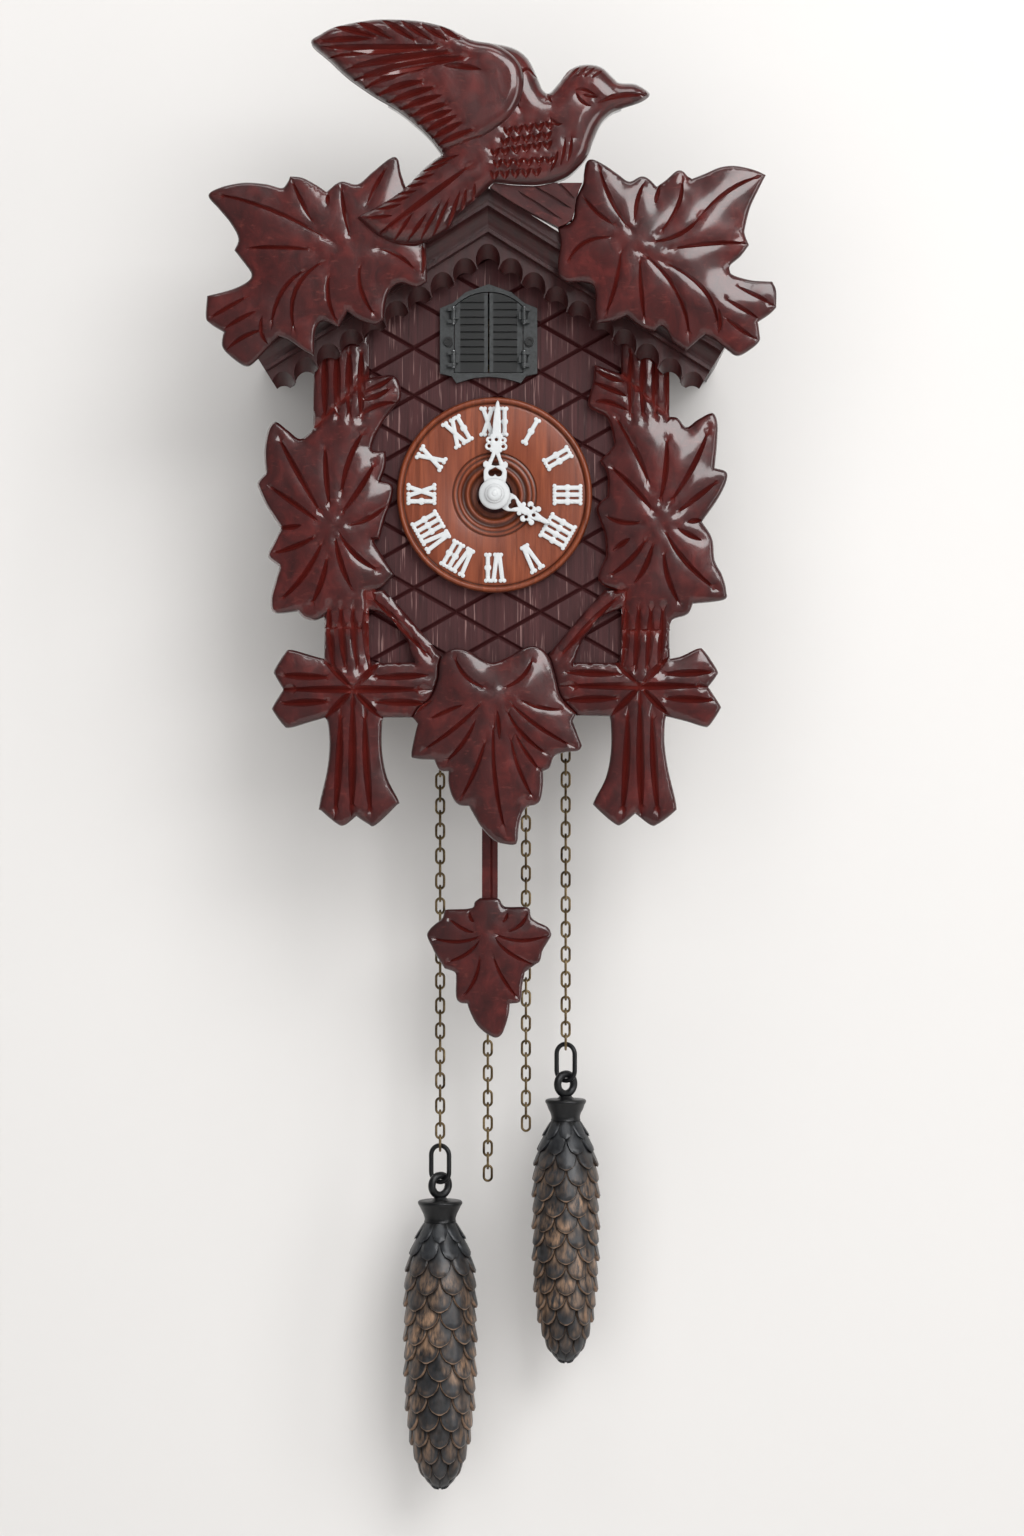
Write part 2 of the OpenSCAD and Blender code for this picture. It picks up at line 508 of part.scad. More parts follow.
// The post rises from the cross, past the side leaf, to the roof
module post_outline(side) {
    post_out = side < 0 ? -66.5 : 68.3;
    post_in = side < 0 ? -49 : 49.5;
    top_out = side < 0 ? -70.8 : 68.3;
    head = 55;
    polygon([[post_out, -66], [post_in, -66], [post_in, head + 8], [top_out, head - 2],
             [top_out, 20], [post_out, 0]]);
}
module brace_outline(side) {
    polygon([[side * 56, -37.2], [side * 43, -37.2], [side * 34, -47], [side * 21, -62.5], [side * 20, -68],
             [side * 30, -68], [side * 34, -57.5], [side * 40.5, -48], [side * 56, -41.5]]);
}
function post_mid(side) = side < 0 ? -57.5 : 58.8;
function cross_mid(side) = side < 0 ? [-55.2, -76] : [56.8, -74.7];
module frame_grooves(side) {
    m = cross_mid(side);
    p = post_mid(side);
    veins(side < 0 ? side_leaf_left_veins : side_leaf_right_veins);
    for (k = [-1.5 : 1 : 1.5]) {
        groove([p + side * 1.5 + 4.7 * k, 56], [p + side * 1.5 + 4.7 * k, 44], [p + side * 1.5 + 4.7 * k, 29]);
        groove([p + 4.7 * k, -43], [p + 4.7 * k, -56], [m[0] + 4.7 * k, -70]);
        if (abs(k) > 1) {
            groove([m[0] + 3.2 * k, -82], [m[0] + 3.2 * k, -105], [m[0] + 4.8 * k, -127]);
            groove([m[0] + side * 8, m[1] + 4.6 * k / 1.5], [m[0] + side * 20, m[1] + 5.2 * k / 1.5],
                         [m[0] + side * 29, m[1] + 6 * k / 1.5]);
            groove([m[0] - side * 7, m[1] + 4.8 * k / 1.5], [m[0] - side * 18, m[1] + 5 * k / 1.5],
                         [m[0] - side * 30, m[1] + 5 * k / 1.5]);
        }
    }
    groove([m[0], m[1]], [m[0], -105], [m[0] + side * 0.5, -124]);
    groove([m[0] + side * 27.5, m[1]], m, [m[0] - side * 31, m[1]]);
    for (dx = [-1, 1]) for (dz = [-1, 1])
        groove(m, m + [dx * 5, dz * 5.5], m + [dx * 11.5, dz * 11.5]);
    for (k = [0, 1])
        groove([side * (49.8 - 3 * k), -38.5 - 2.4 * k], [side * (37 - k), -49 - 3 * k],
                     [side * (25 - k), -64.5]);
}
module carved_frame(side) {
    color([0.4, 0.15, 0.13]) at_dial() difference() {
        union() {
            slab(panel_y, frame_y) post_outline(side);
            slab(panel_y, frame_y) polygon(smooth(side < 0 ? side_leaf_left_pts : side_leaf_right_pts));
            slab(panel_y, frame_y) polygon(smooth(side < 0 ? cross_left_pts : cross_right_pts));
            slab(panel_y, frame_y) brace_outline(side);
        }
        slab(panel_y - 1, frame_y + 1) polygon(smooth(lower_leaf_pts));
        slab(frame_y - groove_depth, frame_y + 1) frame_grooves(side);
    }
}
module carved_frame_left() { carved_frame(-1); }
module carved_frame_right() { carved_frame(1); }
module carved_leaf(outline, lines, from, to) {
    color([0.4, 0.15, 0.13]) at_dial() difference() {
        slab(from, to) polygon(smooth(outline));
        slab(to - groove_depth, to + 1) veins(lines);
    }
}
module lower_leaf() { carved_leaf(lower_leaf_pts, lower_leaf_veins, panel_y, panel_y + lower_leaf_t); }
roof_leaf_y = moulding_y + roof_leaf_t;
module roof_leaf_left() { carved_leaf(roof_leaf_left_pts, roof_leaf_left_veins, moulding_y, roof_leaf_y); }
module roof_leaf_right() { carved_leaf(roof_leaf_right_pts, roof_leaf_right_veins, moulding_y, roof_leaf_y); }
// The branch that the bird sits on runs down the right slope to the leaf
branch_pts = [
    [-10, 118, 1], [-2.5, 117, 1], [8, 110], [24.6, 101, 1], [30, 104], [31.5, 112], [33.8, 118, 1]
];
branch_veins = [
    [[9, 115], [16, 109], [26, 104]], [[15, 117], [21, 112], [30, 108]],
    [[24, 119], [27, 114], [31, 112]]
];
module ridge_branch() {
    color([0.4, 0.15, 0.13]) at_dial() difference() {
        slab(moulding_y, roof_leaf_y - 1) difference() {
            polygon(smooth(branch_pts, 2));
            polygon(smooth(roof_leaf_right_pts));
            polygon(smooth(roof_leaf_left_pts));
            polygon(smooth(bird_pts));
        }
        slab(roof_leaf_y - 1 - groove_depth, roof_leaf_y) veins(branch_veins);
    }
}
// The bird sits astride the ridge. Its tail hangs in front of the left roof leaf.
bird_y = roof_leaf_y + 0.2;
bird_front = bird_y + 6;
wing_lift = 3;
feather_count = 11;
tail_root = [-8, 126];
module carved_bird() {
    color([0.4, 0.15, 0.13]) at_dial() {
        difference() {
            slab(bird_y, bird_front) polygon(smooth(bird_pts));
            slab(bird_front - groove_depth, bird_front + 1) {
                for (k = [0 : 4])
                    let (tip = [-47 + 5.6 * k, 104 - 2.1 * k - (k > 2 ? 0 : 1)])
                    groove(tip, (tip + tail_root) / 2 + [0, -1],
                           tail_root + [0.9, -0.5] * (k - 2), vein_w * 0.8);
                groove([40, 152], [50, 155], [59, 151.5], vein_w * 0.7);
                groove([30.5, 152.5], [34, 146.5], [37.5, 146.5], vein_w * 0.7);
            }
        }
        difference() {
            slab(bird_front - eps, bird_front + wing_lift) polygon(smooth(wing_pts));
            slab(bird_front + wing_lift - groove_depth, bird_front + wing_lift + 1)
                for (k = [0 : feather_count - 1])
                    let (t = k / (feather_count - 1), tip = [-66 + 48 * t, 170 - 40 * t],
                         root = [-38 + 24 * t, 168.5 - 28 * t])
                    groove(tip, (tip + root) / 2 + [0, 1.2], root, vein_w * 0.8);
        }
        difference() {
            slab(bird_y - (bird_t - 9), bird_y + eps) intersection() {
                polygon(smooth(bird_pts));
                polygon([[-34, 116], [0, 96], [40, 96], [50, 140], [40, 190], [-50, 190]]);
            }
            slab(0, moulding_y) for (side = [-1, 1]) slope_strip(side, 0, 60, roof_l);
            slab(moulding_y - 1, roof_leaf_y + 0.1) {
                polygon(smooth(roof_leaf_left_pts));
                polygon(smooth(roof_leaf_right_pts));
                polygon(smooth(branch_pts, 2));
            }
        }
    }
}

/* Cuckoo door */

surround_y = panel_y + surround_t;
door_gap = 0.3;
pin_x = shutter_w + door_gap + 0.2;
pin_out = 1.4;
pin_y = surround_y + pin_out;
plate_half = 19;
plate_pts = [
    [-plate_half, 73 - door_foot], [-14, 75 - door_foot], [-9, 79.2 - door_foot], [0, 82.4 - door_foot],
    [9, 79.2 - door_foot], [14, 75 - door_foot], [plate_half, 73 - door_foot], [plate_half, -0.5],
    [14.5, -1.5], [12.6, -4.2], [6, -2.3], [0, -1.7], [-6, -2.3], [-12.6, -4.2], [-14.5, -1.5], [-plate_half, -0.5]
];
rim_screw_x = 15.9;
rim_screw_z = 12;
rim_screw_r = 1;
knuckle_zs = [3.5, 20.5];
knuckle_r = 1.2;
knuckle_h = 3;
eye_h = 1.4;
eye_gap = 0.2;
module door_surround() {
    color([0.3, 0.31, 0.31]) at_dial() {
        difference() {
            slab(panel_y, surround_y) difference() {
                translate([door_x, door_foot]) polygon(plate_pts);
                door_hole(shutter_w + door_gap, door_foot - door_gap, door_foot + shutter_h, arch_rise + 0.3);
            }
            for (side = [-1, 1]) {
                rim_bar(side, rim_screw_r, 0, surround_y + 1);
                for (z = knuckle_zs)
                    translate([door_x + side * pin_x - knuckle_r - 0.3, -surround_y - 1, door_foot + z - 0.3])
                        cube([2 * knuckle_r + 0.6, 1.5, knuckle_h + 0.6]);
            }
        }
        for (side = [-1, 1]) for (z = knuckle_zs) for (end = [-eye_gap - eye_h, knuckle_h + eye_gap])
            translate([door_x + side * pin_x, -pin_y, door_foot + z + end]) difference() {
                union() {
                    cylinder(r = knuckle_r, h = eye_h);
                    translate([side > 0 ? 0.2 : -2.2, -knuckle_r + 0.2, 0]) cube([2, pin_out + knuckle_r, eye_h]);
                }
                translate([0, 0, -1]) cylinder(r = hinge_pin_r + 0.02, h = eye_h + 2);
            }
    }
}
module rim_bar(side, r, from, to) {
    bar(door_x + side * rim_screw_x, door_foot + rim_screw_z, r, from, to);
}
// Two screws hold the hanging plate and two smaller ones hold the plate round the shutters
module screws() {
    color("silver") at_dial() for (side = [-1, 1]) {
        difference() {
            bar(side * hanger_screw_x, hang_h, hanger_screw_r - 0.03, 0.2, wood_t - 1);
            translate([side * hanger_screw_x - 1.5, -0.7, hang_h - 0.25]) cube([3, 1, 0.5]);
        }
        difference() {
            union() {
                rim_bar(side, rim_screw_r - 0.05, panel_y, surround_y + 0.1);
                rim_bar(side, 1.8, surround_y, surround_y + 0.8);
            }
            rim_bar(side, 0.9, surround_y + 0.4, surround_y + 1);
        }
    }
}
module shutter_pins() {
    color("silver") at_dial() for (side = [-1, 1]) for (z = knuckle_zs)
        translate([door_x + side * pin_x, -pin_y, door_foot + z - eye_gap - eye_h - 0.3])
            cylinder(r = hinge_pin_r, h = knuckle_h + 2 * (eye_gap + eye_h) + 0.6);
}
shutter_back = panel_y + 0.3;
shutter_front = shutter_back + shutter_t;
slat_count = 10;
slat_pitch = 2.9;
module shutter(side) {
    color([0.36, 0.37, 0.37]) at_dial() {
        difference() {
            slab(shutter_back, shutter_front) intersection() {
                door_hole(shutter_w, door_foot, door_foot + shutter_h, arch_rise);
                translate([door_x + (side < 0 ? -shutter_w : door_gap / 2), door_foot])
                    square([shutter_w - door_gap / 2, 40]);
            }
            // The meeting edges are bevelled, so that the shutters pass each other as they open
            translate([door_x, 0, door_foot - 1]) linear_extrude(40)
                polygon([[0, -shutter_front - 1], [side * 0.08, -shutter_front - 1],
                         [side * 1.04, 1 - shutter_back], [0, 1 - shutter_back]]);
            for (k = [1 : slat_count - 1])
                translate([door_x + side * (shutter_w / 2 - 0.2) - 4.7, -shutter_front - 1, door_foot + 0.8])
                    translate([0, 0, k * slat_pitch]) cube([9.4, 1.8, 0.7]);
        }
        for (z = knuckle_zs) difference() {
            union() {
                translate([door_x + side * pin_x, -pin_y, door_foot + z]) cylinder(r = knuckle_r, h = knuckle_h);
                translate([door_x + side * (pin_x - 1.2) - 0.8, -pin_y - 0.4, door_foot + z])
                    cube([1.6, pin_y - shutter_front + 0.5, knuckle_h]);
            }
            translate([door_x + side * pin_x, -pin_y, door_foot + z - 1])
                cylinder(r = hinge_pin_r + run_gap, h = knuckle_h + 2);
        }
    }
}
module shutter_left() { shutter(-1); }
module shutter_right() { shutter(1); }

/* Dial and hands */

dial_y = panel_y + dial_t;
dial_face = dial_y - 1.4;
pipe_r = 3.2;
module turned(points, from) {
    translate([0, -from, 0]) rotate([90, 0, 0]) rotate_extrude($fn = 96) polygon(points);
}
module dial() {
    face = dial_t - 1.4;
    color([0.6, 0.3, 0.18]) at_dial() turned([
        [pipe_r + 1, 0], [dial_r - 1.2, 0], [dial_r, 1.6], [dial_r, dial_t - 1], [dial_r - 1, dial_t],
        [dial_r - 2.2, dial_t], [dial_r - 3.2, face], [ring_r + 0.3, face], [ring_r, face + 0.5],
        [ring_r - 1, face + 0.5], [ring_r - 1.5, face - 0.3], [ring_r - 2.4, face - 0.3], [ring_r - 2.8, face - 0.9],
        [ring_r - 4.2, face - 0.9], [ring_r - 4.7, face - 0.3], [ring_r - 5.6, face - 0.3], [ring_r - 6.2, face - 1.3],
        [ring_r - 8.5, face - 1.6], [pipe_r + 1, face - 1.6]], panel_y);
}
// One stroke of a numeral from the foot to the head, with round serifs and a bead at its middle
module stroke(foot_x, head_x) {
    mid = [(foot_x + head_x) / 2, numeral_h / 2];
    polygon([[foot_x - stroke_w / 2, 0.6], [foot_x + stroke_w / 2, 0.6], [mid[0] + stroke_w * 0.62, mid[1]],
             [head_x + stroke_w / 2, numeral_h - 0.6], [head_x - stroke_w / 2, numeral_h - 0.6],
             [mid[0] - stroke_w * 0.62, mid[1]]]);
    for (x = [foot_x - 0.7, foot_x + 0.7]) translate([x, 0.8]) circle(r = 0.8, $fn = 16);
    for (x = [head_x - 0.7, head_x + 0.7]) translate([x, numeral_h - 0.8]) circle(r = 0.8, $fn = 16);
}
// Strokes of each hour as [foot, head], before the numeral is centred
stroke_pitch = 2.75;
function numeral_strokes(hour) =
    hour < 4 ? [for (i = [0 : hour - 1]) [i, i]]
    : hour == 4 ? [[0, 0], [1, 1], [2, 2], [3, 3]]
    : hour == 5 ? [[0.6, 0], [0.6, 1.3]]
    : hour < 9 ? concat([[0.6, 0], [0.6, 1.3]], [for (i = [0 : hour - 6]) [2 + i, 2.1 + i]])
    : hour == 9 ? [[0, 0], [1, 2.3], [2.3, 1]]
    : concat([[0, 1.4], [1.4, 0]], hour == 10 ? [] : [for (i = [0 : hour - 11]) [2.3 + i, 2.3 + i]]);
module numeral(hour) {
    strokes = numeral_strokes(hour);
    wide = max([for (s = strokes) max(s)]);
    for (s = strokes) stroke((s[0] - wide / 2) * stroke_pitch, (s[1] - wide / 2) * stroke_pitch);
}
module numerals() {
    color("white") at_dial() slab(dial_face, dial_face + numeral_t)
        for (hour = [1 : 12]) rotate(-30 * hour) translate([0, numeral_foot]) numeral(hour);
}

hour_y = dial_face + numeral_t + 0.6;
minute_y = hour_y + hand_t + 0.7;
cannon_r = 2.1;
hub_gap = 0.02;
module hour_hand() {
    color("white") at_dial() rotate([0, hour_angle, 0]) difference() {
        union() {
            slab(hour_y, hour_y + hand_t) circle(r = pipe_r + 1.6);
            slab(hour_y, hour_y + hand_t)
                polygon([[-3.6, 2], [-3.4, 8], [-2, 11.5], [-2, 13], [-1.2, 17], [0, hour_l], [1.2, 17],
                         [2, 13], [2, 11.5], [3.4, 8], [3.6, 2]]);
            for (p = [[-2.6, 14], [2.6, 14], [-1.4, 16.2], [1.4, 16.2]])
                bar(p[0], p[1], 1.6, hour_y, hour_y + hand_t, 24);
        }
        bar(0, 0, pipe_r + hub_gap, hour_y - 1, hour_y + hand_t + 1);
        slab(hour_y - 1, hour_y + hand_t + 1)
            polygon([[0, 6.2], [-1.9, 7.4], [-1.6, 9], [0, 11.4], [1.6, 9], [1.9, 7.4]]);
        for (p = [[-2.4, 14], [2.4, 14], [0, 12.6], [0, 15.6]])
            bar(p[0], p[1], 0.6, hour_y - 1, hour_y + hand_t + 1, 16);
    }
}
module minute_hand() {
    color("white") at_dial() rotate([0, minute_angle, 0]) difference() {
        union() {
            slab(minute_y, minute_y + hand_t) circle(r = cannon_r + 2);
            slab(minute_y, minute_y + hand_t)
                polygon([[-4, 2], [-4.3, 11], [-2.4, 16.5], [-1.6, 18], [-1.5, 24], [-0.8, 33], [0, minute_l],
                         [0.8, 33], [1.5, 24], [1.6, 18], [2.4, 16.5], [4.3, 11], [4, 2]]);
            for (p = [[-3, 19.8], [3, 19.8], [-1.8, 21.8], [1.8, 21.8]])
                bar(p[0], p[1], 1.6, minute_y, minute_y + hand_t, 24);
        }
        bar(0, 0, cannon_r + hub_gap, minute_y - 1, minute_y + hand_t + 1);
        slab(minute_y - 1, minute_y + hand_t + 1)
            polygon([[0, 7], [-1.6, 6.2], [-2.6, 8], [-1.4, 10.5], [0, 15.5], [1.4, 10.5], [2.6, 8],
                     [1.6, 6.2]]);
        for (p = [[-2.6, 19.9], [2.6, 19.9], [0, 21.6]])
            bar(p[0], p[1], 0.65, minute_y - 1, minute_y + hand_t + 1, 16);
    }
}
cap_y = minute_y + hand_t;
cap_h = 4.2;
arbor_end = 1.8;
centre_r = arbor_r + 0.5;
module hand_cap() {
    color("white") at_dial() turned([
        [0, arbor_end], [centre_r + hub_gap, arbor_end], [centre_r + hub_gap, 0], [cap_r, 0], [cap_r, 0.8],
        [cap_r - 0.4, 1.3], [cap_r - 1.3, 1.6], [cap_r - 1.5, 2.2], [cap_r - 2.8, 2.8], [cap_r - 3, 3.3],
        [cap_r - 4.6, cap_h - 0.2], [0, cap_h]], cap_y);
}

/* Movement. Distances from the wall to each wheel's back face are named here. */

back_plate_y = 18;
front_plate_y = 48;
going_great_y = 22;
strike_great_y = 40;
centre_wheel_y = 44;
third_wheel_y = 26.5;
escape_wheel_y = 36;
pin_wheel_y = 28;
minute_wheel_y = 50.4;
hour_wheel_y = 52.6;

// Tooth counts
great_teeth = 72;
centre_pins = 12;
train_teeth = 80;
train_pins = 8;
escape_teeth = 38;
strike_teeth = 78;
pin_teeth = 56;
cannon_teeth = 12;
minute_teeth = 36;
minute_pinion_teeth = 10;
hour_teeth = 40;

// Places of the arbors, at the distance that each wheel and pinion mesh at
function mesh(a, b, m) = (a + b) * m / 2;
going_at = [going_x, -sqrt(pow(mesh(great_teeth, centre_pins, great_module), 2) - pow(going_x, 2))];
third_angle = 135;
third_at = polar(mesh(train_teeth, train_pins, wheel_module), third_angle);
escape_x = pendulum_x;
train_gap = mesh(train_teeth, train_pins, wheel_module);
escape_at = [escape_x, third_at[1] + sqrt(pow(train_gap, 2) - pow(escape_x - third_at[0], 2))];
anchor_at = [pendulum_x, pivot_h];
strike_at = [strike_x, going_at[1]];
pin_angle = 75;
pin_at = strike_at + polar(mesh(strike_teeth, train_pins, wheel_module), pin_angle);
fly_angle = 110;
fly_at = pin_at + polar(mesh(pin_teeth, train_pins, wheel_module), fly_angle);
stud_angle = -30;
stud_at = polar(mesh(cannon_teeth, minute_teeth, wheel_module), stud_angle);
hour_module = 2 * norm(stud_at) / (minute_pinion_teeth + hour_teeth);

function heading(a, b) = atan2(b[1] - a[1], b[0] - a[0]);

// A toothed wheel with pointed teeth, a gap between two teeth at the angle gap_at, and crossed-out spokes
module wheel(teeth, m, gap_at, bore, spokes = 4, tip = 0.9, root = 1.5) {
    r = teeth * m / 2;
    step = 360 / teeth;
    half = 0.35 * step / 2;
    rim = r - root * m - 1.6;
    difference() {
        polygon([for (k = [0 : teeth - 1]) let (a = gap_at + (k + 0.5) * step) each [
            polar(r - root * m, a - half * 1.15), polar(r, a - half), polar(r + tip * m, a - half * 0.3),
            polar(r + tip * m, a + half * 0.3), polar(r, a + half), polar(r - root * m, a + half * 1.15)]]);
        circle(r = bore);
        if (spokes > 0) difference() {
            circle(r = rim);
            circle(r = bore + 2.2);
            for (k = [0 : spokes - 1]) rotate(gap_at + 360 * k / spokes + 20)
                translate([0, -0.9]) square([rim + 1, 1.8]);
        }
    }
}
// A lantern pinion: two discs joined by steel pins, with one pin at the angle pin_at
pin_size = 0.46;
module lantern(pins, m, first, from, to, bore) {
    r = pins * m / 2;
    for (y = [from, to - 0.7]) slab_disc(r + 2 * pin_size * m, y, y + 0.7, bore);
    for (k = [0 : pins - 1]) let (p = polar(r, first + 360 * k / pins))
        bar(p[0], p[1], pin_size * m, from + 0.1, to - 0.1, 16);
}
module small_lantern(first, wheel_y) {
    lantern(train_pins, wheel_module, first, wheel_y - 1, wheel_y + wheel_t + 1, arbor_r - 0.1);
}
module slab_disc(r, from, to, bore = 0) {
    slab(from, to) difference() {
        circle(r = r);
        if (bore > 0) circle(r = bore);
    }
}
// Arbors turn in holes through both plates
module arbor_holes(gap = run_gap) {
    for (p = [going_at, third_at, escape_at, anchor_at, strike_at, pin_at, fly_at])
        translate(p) circle(r = arbor_r + gap);
    translate(hammer_at) circle(r = arbor_r + gap);
    circle(r = centre_r + gap);
}
plate_box = [[-38, -42], [43.2, 54]];
pillar_r = 3;
pillar_inset = 4.5;
function pillar_at(i) = [
    i % 2 == 0 ? plate_box[0][0] + pillar_inset : plate_box[1][0] - pillar_inset,
    i < 2 ? plate_box[0][1] + pillar_inset : plate_box[1][1] - pillar_inset];
pillar_end_r = 1.6;
module movement_plate(y) {
    color("darkkhaki") at_dial() slab(y, y + plate_t) difference() {
        translate(plate_box[0]) square(plate_box[1] - plate_box[0]);
        arbor_holes();
        for (i = [0 : 3]) translate(pillar_at(i)) circle(r = pillar_end_r);
    }
}
module back_plate() { movement_plate(back_plate_y); }
module front_plate() {
    movement_plate(front_plate_y);
    color("darkkhaki") at_dial() {
        bar(stud_at[0], stud_at[1], arbor_r, front_plate_y + plate_t - 0.2, leader_y - 0.3);
        translate([anchor_at[0] - 4, -cock_y[1], plate_box[1][1] - 3])
            cube([8, cock_y[1] - front_plate_y - plate_t + 0.1, 3]);
        slab(cock_y[0], cock_y[1]) translate([anchor_at[0] - 4, anchor_at[1] - 3])
            square([8, plate_box[1][1] - anchor_at[1] + 3]);
        bar(anchor_at[0], anchor_at[1], arbor_r, cock_y[1] - 0.2, leader_y + 1.6);
    }
}
module pillars() {
    color("darkkhaki") at_dial() for (i = [0 : 3]) {
        bar(pillar_at(i)[0], pillar_at(i)[1], pillar_r, back_plate_y + plate_t, front_plate_y);
        bar(pillar_at(i)[0], pillar_at(i)[1], pillar_end_r - 0.02, wood_t, front_plate_y + plate_t + 1.2);
        bar(pillar_at(i)[0], pillar_at(i)[1], pillar_r, wood_t, back_plate_y);
    }
}
module centre_arbor() {
    color("goldenrod") at_dial() {
        bar(0, 0, centre_r, back_plate_y - 1, cap_y + arbor_end - 0.1);
        bar(0, 0, cannon_r, minute_wheel_y, minute_y + hand_t);
        slab(centre_wheel_y, centre_wheel_y + wheel_t)
            wheel(train_teeth, wheel_module, heading([0, 0], third_at), centre_r - 0.1);
        lantern(centre_pins, great_module, heading([0, 0], going_at), going_great_y - 1,
                going_great_y + wheel_t + 1, centre_r - 0.1);
        slab(minute_wheel_y - 0.3, minute_wheel_y + wheel_t + 0.3)
            wheel(cannon_teeth, wheel_module, heading([0, 0], stud_at) + 180 / cannon_teeth, centre_r - 0.1, 0);
    }
}
module hour_wheel() {
    color("goldenrod") at_dial() {
        slab(hour_wheel_y, hour_wheel_y + wheel_t - 0.2)
            wheel(hour_teeth, hour_module, heading([0, 0], stud_at), cannon_r + run_gap, 0);
        slab_disc(pipe_r, hour_wheel_y, hour_y + hand_t, cannon_r + run_gap);
    }
}
module minute_wheel() {
    color("goldenrod") at_dial() translate([stud_at[0], 0, stud_at[1]]) {
        slab(minute_wheel_y, minute_wheel_y + wheel_t)
            wheel(minute_teeth, wheel_module, heading(stud_at, [0, 0]), arbor_r + run_gap, 0);
        slab(minute_wheel_y + wheel_t - eps, hour_wheel_y + wheel_t)
            wheel(minute_pinion_teeth, hour_module, heading(stud_at, [0, 0]) + 180 / minute_pinion_teeth,
                  arbor_r + run_gap, 0);
    }
}
module wheel_on_arbor(at) {
    color("goldenrod") at_dial() translate([at[0], 0, at[1]]) {
        bar(0, 0, arbor_r, back_plate_y - 1, front_plate_y + plate_t + 0.6);
        children();
    }
}
module going_great_wheel() {
    wheel_on_arbor(going_at) slab(going_great_y, going_great_y + wheel_t)
        wheel(great_teeth, great_module, heading(going_at, [0, 0]), arbor_r - 0.1);
}
module third_wheel() {
    wheel_on_arbor(third_at) {
        slab(third_wheel_y, third_wheel_y + wheel_t)
            wheel(train_teeth, wheel_module, heading(third_at, escape_at), arbor_r - 0.1);
        small_lantern(heading(third_at, [0, 0]), centre_wheel_y);
    }
}
escape_r = 9;
module escape_wheel() {
    wheel_on_arbor(escape_at) {
        slab(escape_wheel_y, escape_wheel_y + wheel_t) difference() {
            polygon([for (k = [0 : escape_teeth - 1]) let (step = 360 / escape_teeth) each [
                polar(escape_r - 1.5, k * step), polar(escape_r, (k + 0.45) * step),
                polar(escape_r - 1.5, (k + 0.5) * step)]]);
            circle(r = arbor_r - 0.1);
        }
        small_lantern(heading(escape_at, third_at), third_wheel_y);
    }
}
// The anchor straddles the escape wheel and its crutch reaches down in front of the plate
pallet_gap = 0.9;
crutch_l = 24;
cock_y = [53, 53.9];
module anchor() {
    drop = norm(anchor_at - escape_at);
    arm = escape_r + pallet_gap;
    color("silver") at_dial() {
        bar(anchor_at[0], anchor_at[1], arbor_r, back_plate_y - 1, cock_y[0] - 0.3);
        slab(escape_wheel_y - 0.5, escape_wheel_y + wheel_t + 0.5) translate(anchor_at) difference() {
            union() {
                circle(r = 2.6);
                for (side = [-1, 1]) polygon([
                    [0, 2.4], [side * 9, -2], [side * 9, -7], [side * 7.2, -6], [side * 6.6, -3], [0, -1.5]]);
            }
            circle(r = arbor_r - 0.1);
            translate([0, -drop]) circle(r = arm);
        }
        slab(cock_y[0] - 1.6, cock_y[0] - 0.6) translate(anchor_at)
            polygon([[-1.5, 1.5], [1.5, 1.5], [1, -crutch_l], [-1, -crutch_l]]);
        bar(anchor_at[0], anchor_at[1] - crutch_l + 1, 0.7, cock_y[0] - 0.8, leader_y + 0.8);
    }
}
module strike_great_wheel() {
    wheel_on_arbor(strike_at) slab(strike_great_y, strike_great_y + wheel_t)
        wheel(strike_teeth, wheel_module, heading(strike_at, pin_at), arbor_r - 0.1);
}
lift_pins = 8;
lift_r = pin_teeth * wheel_module / 2 - 1.8;
module pin_wheel() {
    wheel_on_arbor(pin_at) {
        slab(pin_wheel_y, pin_wheel_y + wheel_t)
            wheel(pin_teeth, wheel_module, heading(pin_at, fly_at), arbor_r - 0.1);
        small_lantern(heading(pin_at, strike_at), strike_great_y);
        for (k = [0 : lift_pins - 1]) let (p = polar(lift_r, 360 * k / lift_pins))
            bar(p[0], p[1], 0.5, pin_wheel_y - 2.5, pin_wheel_y + 0.4, 16);
    }
}
fly_half = 9.5;
module fly() {
    wheel_on_arbor(fly_at) {
        small_lantern(heading(fly_at, pin_at), pin_wheel_y);
        translate([-fly_half, -42, -0.3]) cube([2 * fly_half, 9, 0.6]);
        bar(0, 0, 1.6, 33, 42);
    }
}

/* Strike: hammer, gong and bellows */

hammer_at = [40.5, -12];
hammer_l = 27;
hammer_y = 12;
module hammer() {
    color("silver") at_dial() {
        bar(hammer_at[0], hammer_at[1], arbor_r, hammer_y, front_plate_y + plate_t + 0.6);
        slab(hammer_y, hammer_y + 1.2) translate(hammer_at)
            polygon([[-1.6, -2], [1.6, -2], [1, hammer_l], [-1, hammer_l]]);
        slab(pin_wheel_y - 2.2, pin_wheel_y - 0.9) translate(hammer_at) rotate(heading(hammer_at, pin_at))
            polygon([[-1.6, -1.6], [0, -1.6], [norm(pin_at - hammer_at) - lift_r - 0.9, -0.6],
                     [norm(pin_at - hammer_at) - lift_r - 0.9, 0.6], [0, 1.6], [-1.6, 1.6]]);
        translate([hammer_at[0] - 3.5, -hammer_y - 0.6, hammer_at[1] + hammer_l])
            rotate([0, 90, 0]) cylinder(r = 2.6, h = 7);
    }
}
gong_at = [8, 22];
gong_wire = 1.8;
gong_turns = 6;
gong_inner = 5;
gong_step = 6.8;
